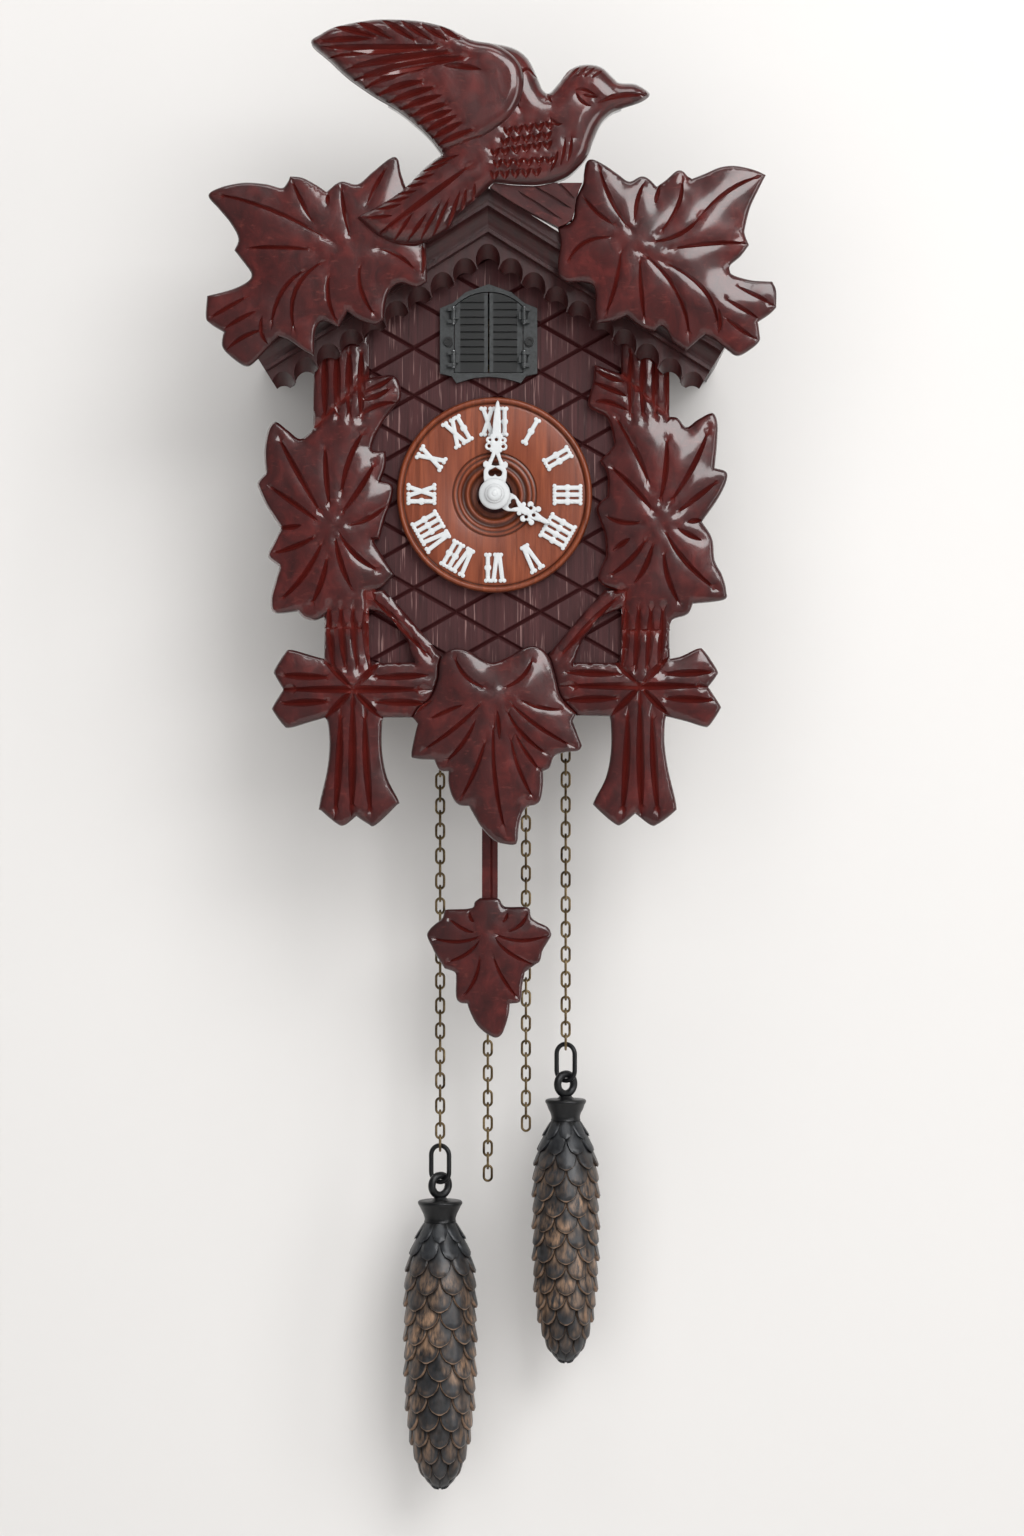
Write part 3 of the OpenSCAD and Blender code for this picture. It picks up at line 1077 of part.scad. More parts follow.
// Half rings of growing size, with two centres in turn, make the coil
module gong() {
    color("lightsteelblue") at_dial() translate([gong_at[0], -hammer_y - 0.6, gong_at[1]]) rotate([90, 0, 0]) {
        for (k = [0 : gong_turns - 1])
            translate([k % 2 == 0 ? 0 : gong_step / 2, 0, 0]) rotate([0, 0, k % 2 == 0 ? 0 : 180])
                rotate_extrude(angle = 180, $fn = 64)
                    translate([gong_inner + k * gong_step / 2, 0]) circle(d = gong_wire, $fn = 16);
        translate([gong_inner, 0, 0]) rotate([90, 0, 0]) cylinder(d = gong_wire, h = 4.5, $fn = 16);
    }
}
module gong_block() {
    color("gray") at_dial() translate([gong_at[0] + gong_inner, -hammer_y - 0.6, gong_at[1]]) difference() {
        translate([-2.6, -2, -5.5]) cube([4.8, hammer_y + 2.6 - wood_t, 4.5]);
        translate([0, 0, -6]) cylinder(d = gong_wire + 0.04, h = 7, $fn = 24);
    }
}
bellows_w = case_w / 2 - wood_t - plate_box[1][0] - 0.8;
bellows_d = [24, 62];
bellows_z = [-30, 8];
fold_count = 4;
lid_t = 2;
module bellows() {
    in = half_w - wood_t;
    color("tan") at_dial() for (side = [-1, 1]) {
        translate([side > 0 ? in - bellows_w : -in, -bellows_d[1], bellows_z[0]])
            cube([bellows_w, bellows_d[1] - bellows_d[0], bellows_z[1] - bellows_z[0] - 2 * fold_count]);
        for (k = [0 : fold_count - 1])
            let (tuck = k % 2, high = k == fold_count - 1 ? 1.7 : 2)
            translate([side > 0 ? in - bellows_w + tuck : -in, -bellows_d[1] + tuck,
                       bellows_z[1] - 2 * (fold_count - k)])
                cube([bellows_w - tuck, bellows_d[1] - bellows_d[0] - 2 * tuck, high]);
    }
}
module bellows_lid(side) {
    in = half_w - wood_t - 0.5;
    color("peru") at_dial()
        translate([side > 0 ? in - bellows_w : -in, -bellows_d[1], bellows_z[1]])
            cube([bellows_w, bellows_d[1] - bellows_d[0], lid_t]);
}
module bellows_lid_left() { bellows_lid(-1); }
module bellows_lid_right() { bellows_lid(1); }

/* Cuckoo on its slide behind the shutters */

cuckoo_mid = [door_x, 64];
cuckoo_beak_y = panel_y - 2.8;
slide_size = 3;
slide_z = 56.5;
slide_gap = 0.25;
guide_y = [front_plate_y - 6, front_plate_y + plate_t];
module cuckoo() {
    color([0.55, 0.45, 0.35]) at_dial() {
        translate([cuckoo_mid[0], -cuckoo_beak_y + 14, cuckoo_mid[1] - 1]) sphere(r = 4.6, $fn = 32);
        translate([cuckoo_mid[0], -cuckoo_beak_y + 8, cuckoo_mid[1] + 3.2]) sphere(r = 3.3, $fn = 32);
        translate([cuckoo_mid[0], -cuckoo_beak_y + 5, cuckoo_mid[1] + 3.2]) rotate([90, 0, 0])
            cylinder(r1 = 1.4, r2 = 0.2, h = 4.4, $fn = 24);
        translate([cuckoo_mid[0], -cuckoo_beak_y + 24, cuckoo_mid[1] - 1]) rotate([98, 0, 0])
            cylinder(r1 = 1.2, r2 = 3, h = 9, $fn = 24);
        translate([cuckoo_mid[0], -cuckoo_beak_y + 14, slide_z + 1]) cylinder(r = 0.9, h = 4, $fn = 24);
        translate([cuckoo_mid[0] - slide_size / 2, -cuckoo_beak_y + 12, slide_z - slide_size / 2])
            cube([slide_size, cuckoo_beak_y - 12 - 20, slide_size]);
    }
}
module cuckoo_guide() {
    color("darkkhaki") at_dial() difference() {
        translate([cuckoo_mid[0] - 3.5, -guide_y[1], plate_box[1][1]])
            cube([7, guide_y[1] - guide_y[0], slide_z + 4 - plate_box[1][1]]);
        translate([cuckoo_mid[0] - slide_size / 2 - slide_gap, -guide_y[1] - 1, slide_z - slide_size / 2 - slide_gap])
            cube([slide_size + 2 * slide_gap, 20, slide_size + 2 * slide_gap]);
    }
}

/* Pendulum */

leader_y = pendulum_y - rod_t / 2 - 0.8;
leader_foot = -26;
eye_r = 9.4;
leader_bore = arbor_r + run_gap;
module pendulum_leader() {
    color("darkkhaki") at_dial() slab(leader_y, leader_y + 0.8) difference() {
        union() {
            translate([pendulum_x - 2.5, leader_foot]) square([5, pivot_h - leader_foot]);
            translate([pendulum_x, pivot_h]) circle(r = 3.4);
            translate([pendulum_x, 0]) circle(r = eye_r + 2);
        }
        translate([pendulum_x, 0]) circle(r = eye_r);
        translate([pendulum_x, pivot_h]) circle(r = leader_bore);
        translate([pendulum_x, pivot_h - crutch_l]) square([1.5, 4], center = true);
    }
}
module pendulum_rod() {
    color([0.4, 0.15, 0.12]) at_dial() difference() {
        slab(leader_y + 0.8, leader_y + 0.8 + rod_t)
            translate([pendulum_x - rod_w / 2, -bob_top - 34]) square([rod_w, bob_top + 34 - eye_r - 5]);
        translate([pendulum_x + 0.6, -(leader_y + 0.8 + rod_t) - 0.5, -bob_top - 40]) rotate([0, 0, 45])
            cube([0.7, 0.7, bob_top + 60]);
    }
}
bob_y = leader_y + 0.8 + rod_t;
module pendulum_leaf() { carved_leaf(pendulum_leaf_pts, pendulum_leaf_veins, bob_y, bob_y + bob_t); }

// A spring clip behind the leaf grips the rod, so that the leaf can be slid to set the rate
clip_z = -bob_top - 18;
module leaf_clip() {
    color("darkkhaki") at_dial() {
        slab(leader_y, leader_y + 0.7) translate([pendulum_x - 7, clip_z - 3]) square([14, 6]);
        for (side = [-1, 1]) slab(leader_y + 0.6, bob_y)
            translate([pendulum_x + side * (rod_w / 2 + 2.1) - 2, clip_z - 3]) square([4, 6]);
    }
}

/* Chains, sprockets and weights */

// One link: two straight wires and two half rings
module link(pitch, width, wire) {
    bend_r = (width - wire) / 2;
    straight = pitch + 2 * wire + 0.1 - width;
    for (end = [-1, 1]) {
        translate([0, 0, end * straight / 2]) rotate([0, end > 0 ? 0 : 180, 0]) rotate([90, 0, 0])
            rotate_extrude(angle = 180, $fn = 24) translate([bend_r, 0]) circle(d = wire, $fn = 14);
        translate([end * bend_r, 0, -straight / 2]) cylinder(d = wire, h = straight, $fn = 14);
    }
}
// A straight run of links, each turned a quarter from the last
module strand(x, top, count, first_turned) {
    for (k = [0 : count - 1])
        translate([x, -chain_y, top - (k + 0.5) * link_pitch])
            rotate([0, 0, 90 * ((k + first_turned) % 2)]) link(link_pitch, link_w, wire_d);
}
// Links lie round the upper half of a sprocket
module wrapped_links(at, links) {
    r = sprocket_r(links);
    for (k = [0 : links / 2])
        let (a = 360 * k / links)
        translate([at[0] + r * cos(a), -chain_y, at[1] + r * sin(a)]) rotate([0, -a, 0])
            rotate([0, 0, 90 * ((k + 1) % 2)]) link(link_pitch - 0.25, link_w, wire_d);
}
// The flat links lie on two shoulders and the upright ones drop between them
guard_t = 0.7;
shoulder_y = 2.6;
groove_y = 0.8;
module facing_disc(side, r, near, far) {
    slab_disc(r, chain_y + (side > 0 ? near : -far), chain_y + (side > 0 ? far : -near));
}
module sprocket(at, links) {
    r = sprocket_r(links);
    translate([at[0], 0, at[1]]) difference() {
        union() {
            slab_disc(r - link_w / 2 - 0.3, chain_y - shoulder_y, chain_y + shoulder_y);
            for (side = [-1, 1]) {
                facing_disc(side, r - wire_d / 2 - 0.15, groove_y, shoulder_y);
                facing_disc(side, r + 1.2, shoulder_y - eps, shoulder_y + guard_t);
            }
            for (k = [0 : links / 2 - 1]) rotate([0, -2 * k * 360 / links, 0])
                translate([0, -chain_y - 0.5, -0.8]) cube([r + 0.5, 1, 1.6]);
        }
        bar(0, 0, arbor_r + run_gap, chain_y - 5, chain_y + 5);
    }
    wrapped_links(at, links);
}
module going_sprocket() {
    color("darkkhaki") at_dial() sprocket(going_at, going_links);
}
module strike_sprocket() {
    color("darkkhaki") at_dial() sprocket(strike_at, strike_links);
}
// The runs of chain start well below the sprockets, so that they can rise and fall
strand_top = going_at[1] - 24;
free_end_left = -270;
free_end_right = -252;
function strand_count(bottom) = 2 * floor((strand_top - bottom) / link_pitch / 2) + 1;
module free_chain(x, end) {
    color([0.55, 0.48, 0.33]) at_dial() strand(x, strand_top, strand_count(end), 0);
}
module going_chain_free() { free_chain(strand_xs[1], free_end_left); }
module strike_chain_free() { free_chain(strand_xs[2], free_end_right); }
// Heights above the top of a cone: its eye, the ring through the eye and the chain's last link
eye_r_mid = 4;
eye_wire = 3.1;
eye_z = 6;
ring_wire = 1.9;
ring_w = 9.9;
ring_l = 13;
ring_z = eye_z + eye_r_mid - eye_wire / 2 - ring_wire - 0.2 + ring_l / 2 + ring_wire;
last_link_z = ring_z + ring_l / 2 - 0.2 - wire_d + link_pitch / 2 + wire_d / 2;
module weight_chain(x, top) {
    lowest = last_link_z - top;
    count = 2 * floor((strand_top - lowest) / link_pitch / 2) + 1;
    color([0.55, 0.48, 0.33]) at_dial() strand(x, lowest + (count - 0.5) * link_pitch, count, 1);
}
module going_chain_weight() { weight_chain(strand_xs[0], left_cone_top); }
module strike_chain_weight() { weight_chain(strand_xs[3], right_cone_top); }

// The radius of a cone at a share of its length from the neck
neck_share = 0.41;
belly_at = 0.26;
function cone_shape(t) = t < belly_at
    ? neck_share + (1 - neck_share) * sin(90 * pow(t / belly_at, 0.8))
    : sqrt(max(0.012, 1 - pow((t - belly_at) / (1 - belly_at), 3.2)));
// Scales overlap downwards like tiles. Each row is shifted by half a scale from the last.
function across(row, a) =
    let (turn = a * scales_round / 360 + (row % 2) / 2) abs(turn - round(turn)) * 2;
function scale_edge(row, a) = row < 0 ? 0 : 0.4 * (1 - pow(across(row, a), 2));
ring_parts = [0.02, 0.5, 0.98];
scale_lift = [-0.55, 0.15, 0.5];
cone_sides = 4;
module cone(length, radius) {
    sides = scales_round * cone_sides;
    count = scale_rows * 3;
    body = length - collar_h;
    points = concat(
        [for (i = [0 : count - 1]) for (j = [0 : sides - 1])
            let (row = floor(i / 3), part = i % 3, a = 360 * j / sides,
                 before = scale_edge(row - 1, a), own = row < scale_rows - 1 ? scale_edge(row, a) : 0,
                 t = (row + ring_parts[part] + before * (1 - ring_parts[part]) + own * ring_parts[part]) / scale_rows,
                 round_off = 1 - 0.7 * pow(across(row, a), 2) * ring_parts[part],
                 r = radius * cone_shape(min(1, t)) + scale_lift[part] * round_off * min(1, 3 * (1 - t) + 0.1))
            [r * cos(a), r * sin(a), -collar_h - body * min(1, t)]],
        [[0, 0, -collar_h], [0, 0, -length - 0.3]]);
    top = count * sides;
    last = (count - 1) * sides;
    faces = concat(
        [for (i = [0 : count - 2]) for (j = [0 : sides - 1]) let (n = (j + 1) % sides) each [
            [i * sides + j, i * sides + n, (i + 1) * sides + n],
            [i * sides + j, (i + 1) * sides + n, (i + 1) * sides + j]]],
        [for (j = [0 : sides - 1]) [top, (j + 1) % sides, j]],
        [for (j = [0 : sides - 1]) [top + 1, last + j, last + (j + 1) % sides]]);
    polyhedron(points, faces);
}
collar_h = 8.4;
collar_r = 0.61;
// How far the eye and the ring are turned away from the front, in degrees
eye_turn = 35;
ring_turn = -25;
module weight(x, top, length, radius) {
    neck = radius * neck_share;
    rim = radius * collar_r;
    color([0.2, 0.21, 0.22]) at_dial() translate([x, -chain_y, -top]) {
        cone(length, radius);
        rotate_extrude($fn = 48) polygon([
            [0, 0], [rim - 0.6, 0], [rim, -0.5], [rim, -1], [rim - 0.5, -1.8], [neck + 1, -5], [neck, -7.4],
            [neck, -collar_h - 0.4], [0, -collar_h - 0.4]]);
        rotate([0, 0, eye_turn]) {
            translate([0, 0, eye_z]) rotate([90, 0, 0])
                rotate_extrude($fn = 36) translate([eye_r_mid, 0]) circle(d = eye_wire, $fn = 20);
            translate([0, 0, -0.1]) cylinder(r1 = 3.4, r2 = 2.2, h = 1.4);
        }
        translate([0, 0, ring_z]) rotate([0, 0, ring_turn]) link(ring_l - 0.1, ring_w, ring_wire);
    }
}
module weight_left() { weight(strand_xs[0], left_cone_top, left_cone_l, left_cone_r); }
module weight_right() { weight(strand_xs[3], right_cone_top, right_cone_l, right_cone_r); }

back_board();
hanger_plate();
screws();
case_side_left();
case_side_right();
case_bottom();
front_panel();
roof_board_left();
roof_board_right();
roof_moulding();
scalloped_strip();
carved_frame_left();
carved_frame_right();
lower_leaf();
roof_leaf_left();
roof_leaf_right();
ridge_branch();
carved_bird();
door_surround();
shutter_left();
shutter_right();
shutter_pins();
dial();
numerals();
hour_hand();
minute_hand();
hand_cap();
front_plate();
back_plate();
pillars();
centre_arbor();
hour_wheel();
minute_wheel();
going_great_wheel();
third_wheel();
escape_wheel();
anchor();
strike_great_wheel();
pin_wheel();
fly();
hammer();
gong();
gong_block();
bellows();
bellows_lid_left();
bellows_lid_right();
cuckoo();
cuckoo_guide();
pendulum_leader();
pendulum_rod();
pendulum_leaf();
leaf_clip();
going_sprocket();
strike_sprocket();
going_chain_free();
strike_chain_free();
going_chain_weight();
strike_chain_weight();
weight_left();
weight_right();
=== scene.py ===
"""Looks for a carved cuckoo clock: stained wood, white hands, brass chains and iron cones.

Metres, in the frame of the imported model: the origin is the hanging hole in the plane of the wall,
+Z is up and the front faces -Y. Places on the face are written in millimetres from the middle of
the dial, as (x, z), and at_face() turns them into the model's frame.
"""
import json
import math

import bmesh
import bpy
import numpy as np
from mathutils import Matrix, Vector, geometry


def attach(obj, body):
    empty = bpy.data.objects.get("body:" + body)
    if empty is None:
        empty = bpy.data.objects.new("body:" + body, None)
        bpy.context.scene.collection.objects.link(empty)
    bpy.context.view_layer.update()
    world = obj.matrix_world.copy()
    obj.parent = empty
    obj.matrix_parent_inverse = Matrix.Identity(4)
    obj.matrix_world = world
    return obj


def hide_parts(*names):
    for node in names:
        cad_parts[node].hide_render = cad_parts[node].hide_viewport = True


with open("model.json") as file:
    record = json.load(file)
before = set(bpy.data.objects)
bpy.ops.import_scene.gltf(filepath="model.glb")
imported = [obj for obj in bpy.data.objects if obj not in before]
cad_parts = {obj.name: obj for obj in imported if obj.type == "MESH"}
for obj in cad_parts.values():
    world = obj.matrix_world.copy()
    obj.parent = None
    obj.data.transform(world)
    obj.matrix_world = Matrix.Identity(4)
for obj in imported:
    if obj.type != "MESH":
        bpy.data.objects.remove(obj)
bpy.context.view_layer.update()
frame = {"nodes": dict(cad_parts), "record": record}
nodes = frame["nodes"]

MM = 0.001
# The hanging hole's height above the middle of the dial
HANG_H = 82.0
# Distances from the wall: the panel's face, the chains' middle and the roof leaves' back
PANEL_FACE = 84
CHAIN_Y = 34
ROOF_LEAF_BACK = 107.6
# Middle of the cuckoo's door
DOOR_X = -2.3
# The time shown, as each hand's turn past twelve in degrees
MINUTE_ANGLE, HOUR_ANGLE = 2, 118


def at_face(x, y, z):
    """A face place in millimetres, y being the distance from the wall, as metres in the model's frame."""
    return (x * MM, -y * MM, (z - HANG_H) * MM)


def srgb(r, g, b):
    """An 8-bit colour as the linear colour that shaders take."""
    return tuple((c / 255 / 12.92) if c <= 10 else ((c / 255 + 0.055) / 1.055) ** 2.4 for c in (r, g, b)) + (1.0,)


# Materials


class Finish:
    """A material built node by node, with its shader and output in place."""

    def __init__(self, name, roughness=0.5, metallic=0.0, coat=0.0, coat_roughness=0.1, specular=0.5):
        self.material = bpy.data.materials.new(name)
        self.material.use_nodes = True
        self.tree = self.material.node_tree
        self.shader = self.tree.nodes["Principled BSDF"]
        for key, value in (("Roughness", roughness), ("Metallic", metallic), ("Coat Weight", coat),
                           ("Coat Roughness", coat_roughness), ("Specular IOR Level", specular)):
            self.shader.inputs[key].default_value = value
        self.place = self.node("ShaderNodeTexCoord").outputs["Object"]

    def node(self, kind, inputs=None, **settings):
        """A new node with its settings, its inputs set to constants or linked to outputs."""
        made = self.tree.nodes.new(kind)
        for key, value in settings.items():
            setattr(made, key, value)
        for key, value in (inputs or {}).items():
            self.put(value, made.inputs[key])
        return made

    def link(self, source, target):
        self.tree.links.new(source, target)

    def put(self, value, socket):
        """A constant set on a socket, or an output linked to it."""
        if isinstance(value, (int, float, tuple)):
            socket.default_value = value
        else:
            self.link(value, socket)

    def axes(self):
        """The x, y and z of a point, in metres."""
        return self.node("ShaderNodeSeparateXYZ", {0: self.place}).outputs

    def mapped(self, scale):
        """Object coordinates, scaled for a pattern that is counted per metre."""
        return self.node("ShaderNodeMapping", {"Vector": self.place, "Scale": scale}).outputs["Vector"]

    def noise(self, vector, scale, detail=4.0, rough=0.55, distortion=0.0):
        return self.node("ShaderNodeTexNoise", {
            "Vector": vector, "Scale": scale, "Detail": detail, "Roughness": rough, "Distortion": distortion,
        }).outputs["Fac"]

    def ramp(self, factor, stops):
        """A colour ramp with stops given as (place, colour)."""
        made = self.node("ShaderNodeValToRGB", {"Fac": factor})
        while len(made.color_ramp.elements) < len(stops):
            made.color_ramp.elements.new(0.5)
        for element, (place, colour) in zip(made.color_ramp.elements, stops):
            element.position = place
            element.color = colour
        return made.outputs["Color"]

    def level(self, value, low, high, out_low=0.0, out_high=1.0):
        """A value spread from the range low..high to out_low..out_high, and held there outside it."""
        return self.node("ShaderNodeMapRange", {
            "Value": value, "From Min": low, "From Max": high, "To Min": out_low, "To Max": out_high,
        }).outputs["Result"]

    def mix(self, factor, first, second):
        """The second colour laid over the first."""
        inputs = {"Factor": factor, 6: first, 7: second}
        return self.node("ShaderNodeMix", inputs, data_type="RGBA", blend_type="MIX").outputs[2]

    def stained(self, wood, pattern, low, high, share, stain):
        """Wood with a stain over it, up to the given share, where the pattern is high."""
        return self.mix(self.level(pattern, low, high, 0.0, share), wood, stain)

    def math(self, operation, first, second=0.0):
        return self.node("ShaderNodeMath", {0: first, 1: second}, operation=operation).outputs[0]

    def plus(self, first, second):
        return self.math("ADD", first, second)

    def minus(self, first, second):
        return self.math("SUBTRACT", first, second)

    def times(self, first, second):
        return self.math("MULTIPLY", first, second)

    def larger(self, first, second):
        return self.math("MAXIMUM", first, second)

    def size(self, value):
        return self.math("ABSOLUTE", value)

    def distance(self, first, second):
        """The length of the long side of a right triangle."""
        return self.math("SQRT", self.plus(self.math("POWER", first, 2.0), self.math("POWER", second, 2.0)))

    def attribute(self, name):
        return self.node("ShaderNodeAttribute", attribute_name=name).outputs["Fac"]

    def bump(self, height, distance, strength=1.0):
        made = self.node("ShaderNodeBump", {"Height": height, "Distance": distance, "Strength": strength})
        self.link(made.outputs["Normal"], self.shader.inputs["Normal"])

    def colour(self, value):
        self.put(value, self.shader.inputs["Base Color"])

    def rough(self, pattern, least, most):
        """Roughness that follows a pattern."""
        self.link(self.level(pattern, 0.3, 0.7, least, most), self.shader.inputs["Roughness"])


def carved_stain():
    """Dark oxblood stain under lacquer, redder where the gouge cut, with painted shade darkening the edges, walls and
    back.
    """
    finish = Finish("carved_oxblood_wood", coat=1.0, coat_roughness=0.11, specular=0.3)
    grain = finish.noise(finish.mapped((40, 90, 30)), 4.0, 6.0, 0.62, 0.6)
    cloud = finish.noise(finish.place, 34.0, 3.0)
    fleck = finish.noise(finish.mapped((160, 500, 420)), 1.4, 3.0, 0.6)
    wood = finish.ramp(grain, [(0.28, srgb(42, 12, 12)), (0.5, srgb(64, 19, 18)), (0.75, srgb(88, 29, 26))])
    wood = finish.stained(wood, cloud, 0.42, 0.68, 0.6, srgb(40, 14, 15))
    wood = finish.stained(wood, fleck, 0.6, 0.74, 0.25, srgb(124, 60, 52))
    # Painted shade: darkest on the walls and back, and fading in over the front's last millimetres from its edges
    wood = finish.stained(wood, finish.attribute("rim"), 0.0, 1.0, 0.55, srgb(30, 9, 10))
    finish.colour(finish.stained(wood, finish.attribute("cut"), 0.0, 1.0, 0.8, srgb(92, 27, 21)))
    finish.rough(cloud, 0.3, 0.44)
    tool = finish.noise(finish.mapped((60, 60, 60)), 1.0, 2.0)
    finish.bump(finish.plus(finish.times(tool, 4.0), grain), 0.0003, 0.6)
    return finish.material


def case_stain(name, dark, light, gloss):
    """Straight-grained boards, the grain running up the case."""
    finish = Finish(name, coat=gloss, coat_roughness=0.25)
    grain = finish.noise(finish.mapped((90, 90, 5)), 5.0, 7.0, 0.65, 0.3)
    broad = finish.noise(finish.mapped((22, 22, 2)), 3.0, 2.0)
    wood = finish.ramp(grain, [(0.28, dark), (0.7, light)])
    finish.colour(finish.stained(wood, broad, 0.3, 0.75, 0.45, dark))
    finish.rough(grain, 0.34, 0.55)
    finish.bump(grain, 0.00025, 0.4)
    return finish.material


# The panel's scored lines: where two cross, how far apart they are up the middle, and their slope
LATTICE_MID = (1.3, -55.0)
LATTICE_PITCH = 18.8
LATTICE_ANGLE = math.radians(29.7)


def panel_stain():
    """The panel behind the dial: matt brown-red, with the scored lines dark red-brown from their stain and painted
    shade.
    """
    finish = Finish("panel_matt_wood", roughness=0.62, specular=0.3)
    grain = finish.noise(finish.mapped((260, 60, 4)), 2.2, 6.0, 0.7, 0.25)
    broad = finish.noise(finish.mapped((30, 30, 6)), 4.0, 3.0)
    wood = finish.ramp(grain, [(0.3, srgb(40, 19, 20)), (0.55, srgb(58, 30, 31)), (0.8, srgb(82, 50, 50))])
    wood = finish.stained(wood, broad, 0.35, 0.75, 0.6, srgb(62, 28, 30))
    x, _, z = finish.axes()
    x = finish.minus(x, LATTICE_MID[0] * MM)
    z = finish.minus(z, (LATTICE_MID[1] - HANG_H) * MM)
    lines = 0.0
    for side in (-1, 1):
        rise = finish.times(x, side * math.tan(LATTICE_ANGLE) / (LATTICE_PITCH * MM))
        turn = finish.plus(finish.math("DIVIDE", z, LATTICE_PITCH * MM), rise)
        away = finish.size(finish.minus(turn, finish.math("ROUND", turn)))
        lines = finish.larger(lines, finish.level(away, 0.035, 0.065, 1.0, 0.0))
    fleck = finish.noise(finish.mapped((900, 300, 36)), 1.0, 3.0, 0.6, 0.2)
    wood = finish.stained(wood, fleck, 0.6, 0.68, 0.6, srgb(140, 108, 104))
    pore = finish.noise(finish.mapped((1100, 300, 30)), 1.0, 3.0, 0.6, 0.2)
    wood = finish.stained(wood, pore, 0.58, 0.7, 0.7, srgb(30, 13, 14))
    # Dark red-brown in the scored lines: their stain, with painted shade
    finish.colour(finish.mix(lines, wood, srgb(44, 12, 13)))
    finish.rough(grain, 0.42, 0.62)
    finish.bump(grain, 0.0002, 0.5)
    return finish.material


def dial_stain():
    """Orange-brown turned wood, with painted shade that makes it nearly black in the turned grooves."""
    finish = Finish("dial_turned_wood", coat=0.25, coat_roughness=0.2)
    grain = finish.noise(finish.mapped((200, 60, 9)), 2.6, 7.0, 0.68, 0.5)
    broad = finish.noise(finish.mapped((26, 26, 3)), 4.0, 3.0)
    wood = finish.ramp(grain, [(0.3, srgb(80, 33, 14)), (0.5, srgb(110, 50, 24)), (0.74, srgb(138, 68, 35))])
    wood = finish.stained(wood, broad, 0.35, 0.7, 0.5, srgb(104, 43, 22))
    # Painted shade in the turned grooves, the inner bowl and round the back
    finish.colour(finish.stained(wood, finish.attribute("cut"), 0.0, 1.0, 0.85, srgb(40, 14, 7)))
    finish.rough(grain, 0.3, 0.48)
    finish.bump(grain, 0.0002, 0.45)
    return finish.material


def plain(name, colour, roughness, metallic=0.0, speck=0.08, size=420.0, depth=0.00005):
    """A moulded or metal finish with slight unevenness."""
    finish = Finish(name, roughness=roughness, metallic=metallic)
    mottle = finish.noise(finish.place, size, 4.0)
    dark = tuple(c * (1 - speck) for c in colour[:3]) + (1.0,)
    finish.colour(finish.mix(finish.level(mottle, 0.3, 0.7), colour, dark))
    finish.rough(mottle, roughness * 0.85, min(1.0, roughness * 1.2))
    finish.bump(mottle, depth, 0.3)
    return finish.material


# Height of the round lower half of a cone's scale, as a share of the scale
SCALE_ROUND = 0.505


def cone_iron():
    """Black cast iron with bronze rubbed over the scales, and painted shade where a scale goes under the next."""
    finish = Finish("cone_cast_iron", metallic=0.3, specular=0.6)
    mottle = finish.noise(finish.place, 260.0, 5.0)
    streak = finish.noise(finish.mapped((700, 700, 160)), 1.0, 4.0, 0.6)
    patch = finish.noise(finish.place, 75.0, 2.0)
    base = finish.ramp(mottle, [(0.3, srgb(27, 28, 30)), (0.7, srgb(52, 54, 57))])
    across, down = finish.attribute("across"), finish.attribute("down")
    # The round edge of this scale, and how far below the two scales above it a point lies
    edge = finish.distance(finish.larger(finish.times(finish.minus(down, 0.5), 2.0), 0.0), across)
    inward = finish.math("POWER", finish.minus(1.0, across), 2.0)
    above = finish.math("SQRT", finish.larger(finish.minus(1.0, inward), 0.0))
    below = finish.minus(down, finish.times(above, SCALE_ROUND))
    wear = finish.times(finish.level(streak, 0.36, 0.66), finish.level(patch, 0.4, 0.62, 0.05, 1.0))
    wear = finish.times(wear, finish.level(edge, 0.7, 0.92, 1.0, 0.1))
    line = finish.times(finish.level(edge, 0.9, 0.95), finish.level(mottle, 0.3, 0.6, 0.1, 0.7))
    wear = finish.times(finish.larger(wear, line), finish.attribute("rubbed"))
    wear_and_shade = finish.mix(wear, base, srgb(158, 126, 100))
    # Painted shade just below the rims of the two scales above
    finish.colour(finish.mix(finish.level(below, 0.03, 0.16, 0.85, 0.0), wear_and_shade, srgb(10, 10, 11)))
    finish.rough(mottle, 0.3, 0.44)
    finish.bump(mottle, 0.0001, 0.4)
    return finish.material


def chain_brass():
    """Old brass, brown where hands have not rubbed it."""
    finish = Finish("chain_aged_brass", metallic=0.85)
    mottle = finish.noise(finish.place, 190.0, 5.0)
    stops = [(0.28, srgb(58, 46, 34)), (0.5, srgb(116, 98, 70)), (0.75, srgb(160, 140, 104))]
    finish.colour(finish.ramp(mottle, stops))
    finish.rough(mottle, 0.28, 0.46)
    return finish.material


# The cuckoo's door, in metres: middle and half width of a leaf's slats, the rivets' place, the shutters' face
SLATS_MID, SLATS_HALF = 0.00645, 0.0047
RIVET_MID, RIVET_Z = 0.0156, -0.0229
SHUTTER_FACE = -0.0863


